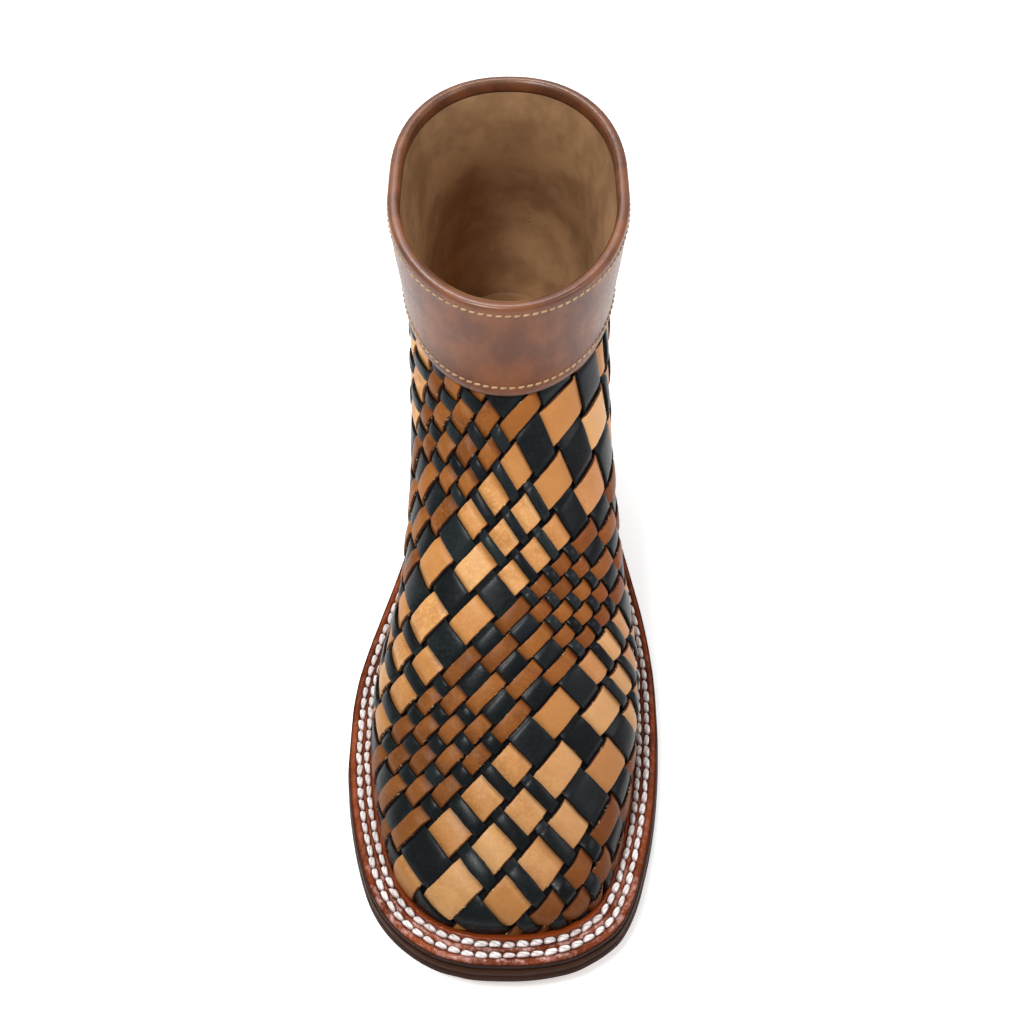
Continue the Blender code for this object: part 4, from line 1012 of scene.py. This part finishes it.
def build_band(paint):
    """Collar band with turned edges, rolled over the rim."""
    shape, u = Shape(), ring_turns(360)
    foot = band_foot(u)
    rows = [last_offset(u, foot + (1 - foot) * part, off) for part, off, _ in BAND_PROFILE]
    shape.grid(np.stack(rows), closed=True, edge=np.array([[away] for _, _, away in BAND_PROFILE]))
    shape.make("collar_leather", paint, "collar_band", "plain_leather")


def build_stay(paint):
    shape = Shape()
    levels = np.linspace(-0.02, STAY_TOP + 0.01, 90)
    reach = 1 - stay_edge(levels)
    profile = [(-1, *row) for row in STAY_PROFILE[:0:-1]] + [(1, *row) for row in STAY_PROFILE]
    columns = [last_offset(side * (1 - reach * share), levels, off) for side, share, off, _ in profile]
    edges = np.array([away for _, _, _, away in profile])
    shape.grid(np.stack(columns, 1)[:, ::-1], edge=edges[::-1])
    shape.make("backstay_leather", paint, "backstay", "plain_leather")


def build_overlay_stitches():
    """Small stitches along the collar band's edges and down the backstay."""
    shape, u = Shape(), np.linspace(-1, 1, 1200)
    foot = band_foot(u)
    lines = [(u, foot + (1 - foot) * part, off) for part, off in ((0.09, 1.62), (0.9, 1.58))]
    levels = np.linspace(0, STAY_TOP - 0.01, 500)
    reach = 1 - stay_edge(levels)
    lines += [(side * (1 - reach * 0.74), levels, 1.45) for side in (-1, 1)]
    for line_u, line_v, off in lines:
        line = np.column_stack([last_offset(line_u, line_v, off), line_u, line_v])
        spots, ways, pitch = arc_places(line, 3)
        for spot, way, up in zip(spots[:, :3], ways, normals(spots[:, 3], spots[:, 4])):
            add_stitch(shape, spot, way, up, pitch * 0.84, 0.85, 0.75, 0.05, 0.3, random.uniform(-1, 1))
    thread = thread_paint("tan_thread", (196, 160, 118), (140, 104, 70))
    shape.make("overlay_stitches", thread, "collar_band", "plain_leather")


def build_insole():
    """Sock on the insole board, turned up a little at its rim."""
    shape, share, count = Shape(), np.linspace(0, 1, 120), 31
    sides = [last_offset(side * share, np.zeros(len(share)), -WALL - 0.1) for side in (-1, 1)]
    points, across = spanned(*sides, count), np.linspace(0, 1, count)
    rim = np.minimum(across, 1 - across) * np.linalg.norm(sides[1] - sides[0], axis=1)[:, None]
    points[..., 2] = sole_under(points[..., 1]) + WELT_TOP + 0.25 + 0.9 * (1 - smooth(rim / 7))
    shape.grid(points)
    paint = fine_paint("insole_leather", 45, 4, (150, 108, 68), (182, 138, 92), 1500, 0.0001, Roughness=0.6)
    shape.make("insole_sock", paint, "insole", "insole_leather")


# Name, place in metres, size, power
LAMPS = (("key", (-0.3, -0.28, 1), 0.3, 7.5), ("fill", (0.75, -0.1, 0.8), 0.5, 2.6),
         ("back", (-0.1, 0.6, 0.9), 0.4, 5))
LAMPS_AIM = (0, -0.02, 0.04)
# The world's strength below and above, the floor's own light, and the camera: lens, place, degrees down
WORLD_LIGHT, FLOOR_GLOW = (0.55, 0.16), 0.45
CAMERA_LENS, CAMERA_PLACE, CAMERA_DOWN = 45, (3, -137, 444), 52.5


def build_stage():
    """Pale floor, soft lights and a camera at the photograph's angle to the forepart."""
    scene = bpy.context.scene
    mesh = bpy.data.meshes.new("floor")
    mesh.from_pydata([(-4, -4, 0), (4, -4, 0), (4, 4, 0), (-4, 4, 0)], [], [(0, 1, 2, 3)])
    paint = Paint("floor", Roughness=0.9, Emission_Color=(1, 1, 1, 1), Emission_Strength=FLOOR_GLOW)
    tint = paint.mix(paint.ramp(paint.noise(3, 2), 0.3, 0.7), (247, 247, 247), (249.3, 249.3, 249.3))
    mesh.materials.append(paint.set(Base_Color=tint))
    floor = bpy.data.objects.new("floor", mesh)
    scene.collection.objects.link(floor)
    scene.world = bpy.data.worlds.new("studio")
    sky = Nodes(scene.world)
    up = sky.made("SeparateXYZ", "Z", {0: sky.made("TexCoord", "Generated", {})})
    inputs = {"Value": up, "To Min": WORLD_LIGHT[0], "To Max": WORLD_LIGHT[1]}
    background = sky.tree.nodes["Background"].inputs
    sky.feed(background["Strength"], sky.made("MapRange", "Result", inputs))
    sky.feed(background["Color"], (1, 1, 1, 1))
    for name, place, size, power in LAMPS:
        light = bpy.data.lights.new(name, "AREA")
        light.shape, light.size, light.energy = "DISK", size, power
        lamp = bpy.data.objects.new(name, light)
        lamp.location = place
        lamp.rotation_euler = (Vector(LAMPS_AIM) - Vector(place)).to_track_quat("-Z", "Y").to_euler()
        scene.collection.objects.link(lamp)
    camera = bpy.data.cameras.new("camera")
    camera.lens, camera.sensor_width = CAMERA_LENS, 36
    eye = bpy.data.objects.new("camera", camera)
    eye.location = (np.array(CAMERA_PLACE) - (CENTRE_X, CENTRE_S, 0)) / 1000
    eye.rotation_euler = (np.radians(90 - CAMERA_DOWN), 0, 0)
    scene.collection.objects.link(eye)
    scene.camera = eye
    scene.view_settings.view_transform = "Standard"


weave_strips()
build_lining()
build_welt()
build_welt_stitches()
build_sole()
build_heel()
PLAIN = plain_paint()
build_band(PLAIN)
build_stay(PLAIN)
build_overlay_stitches()
build_insole()
build_stage()
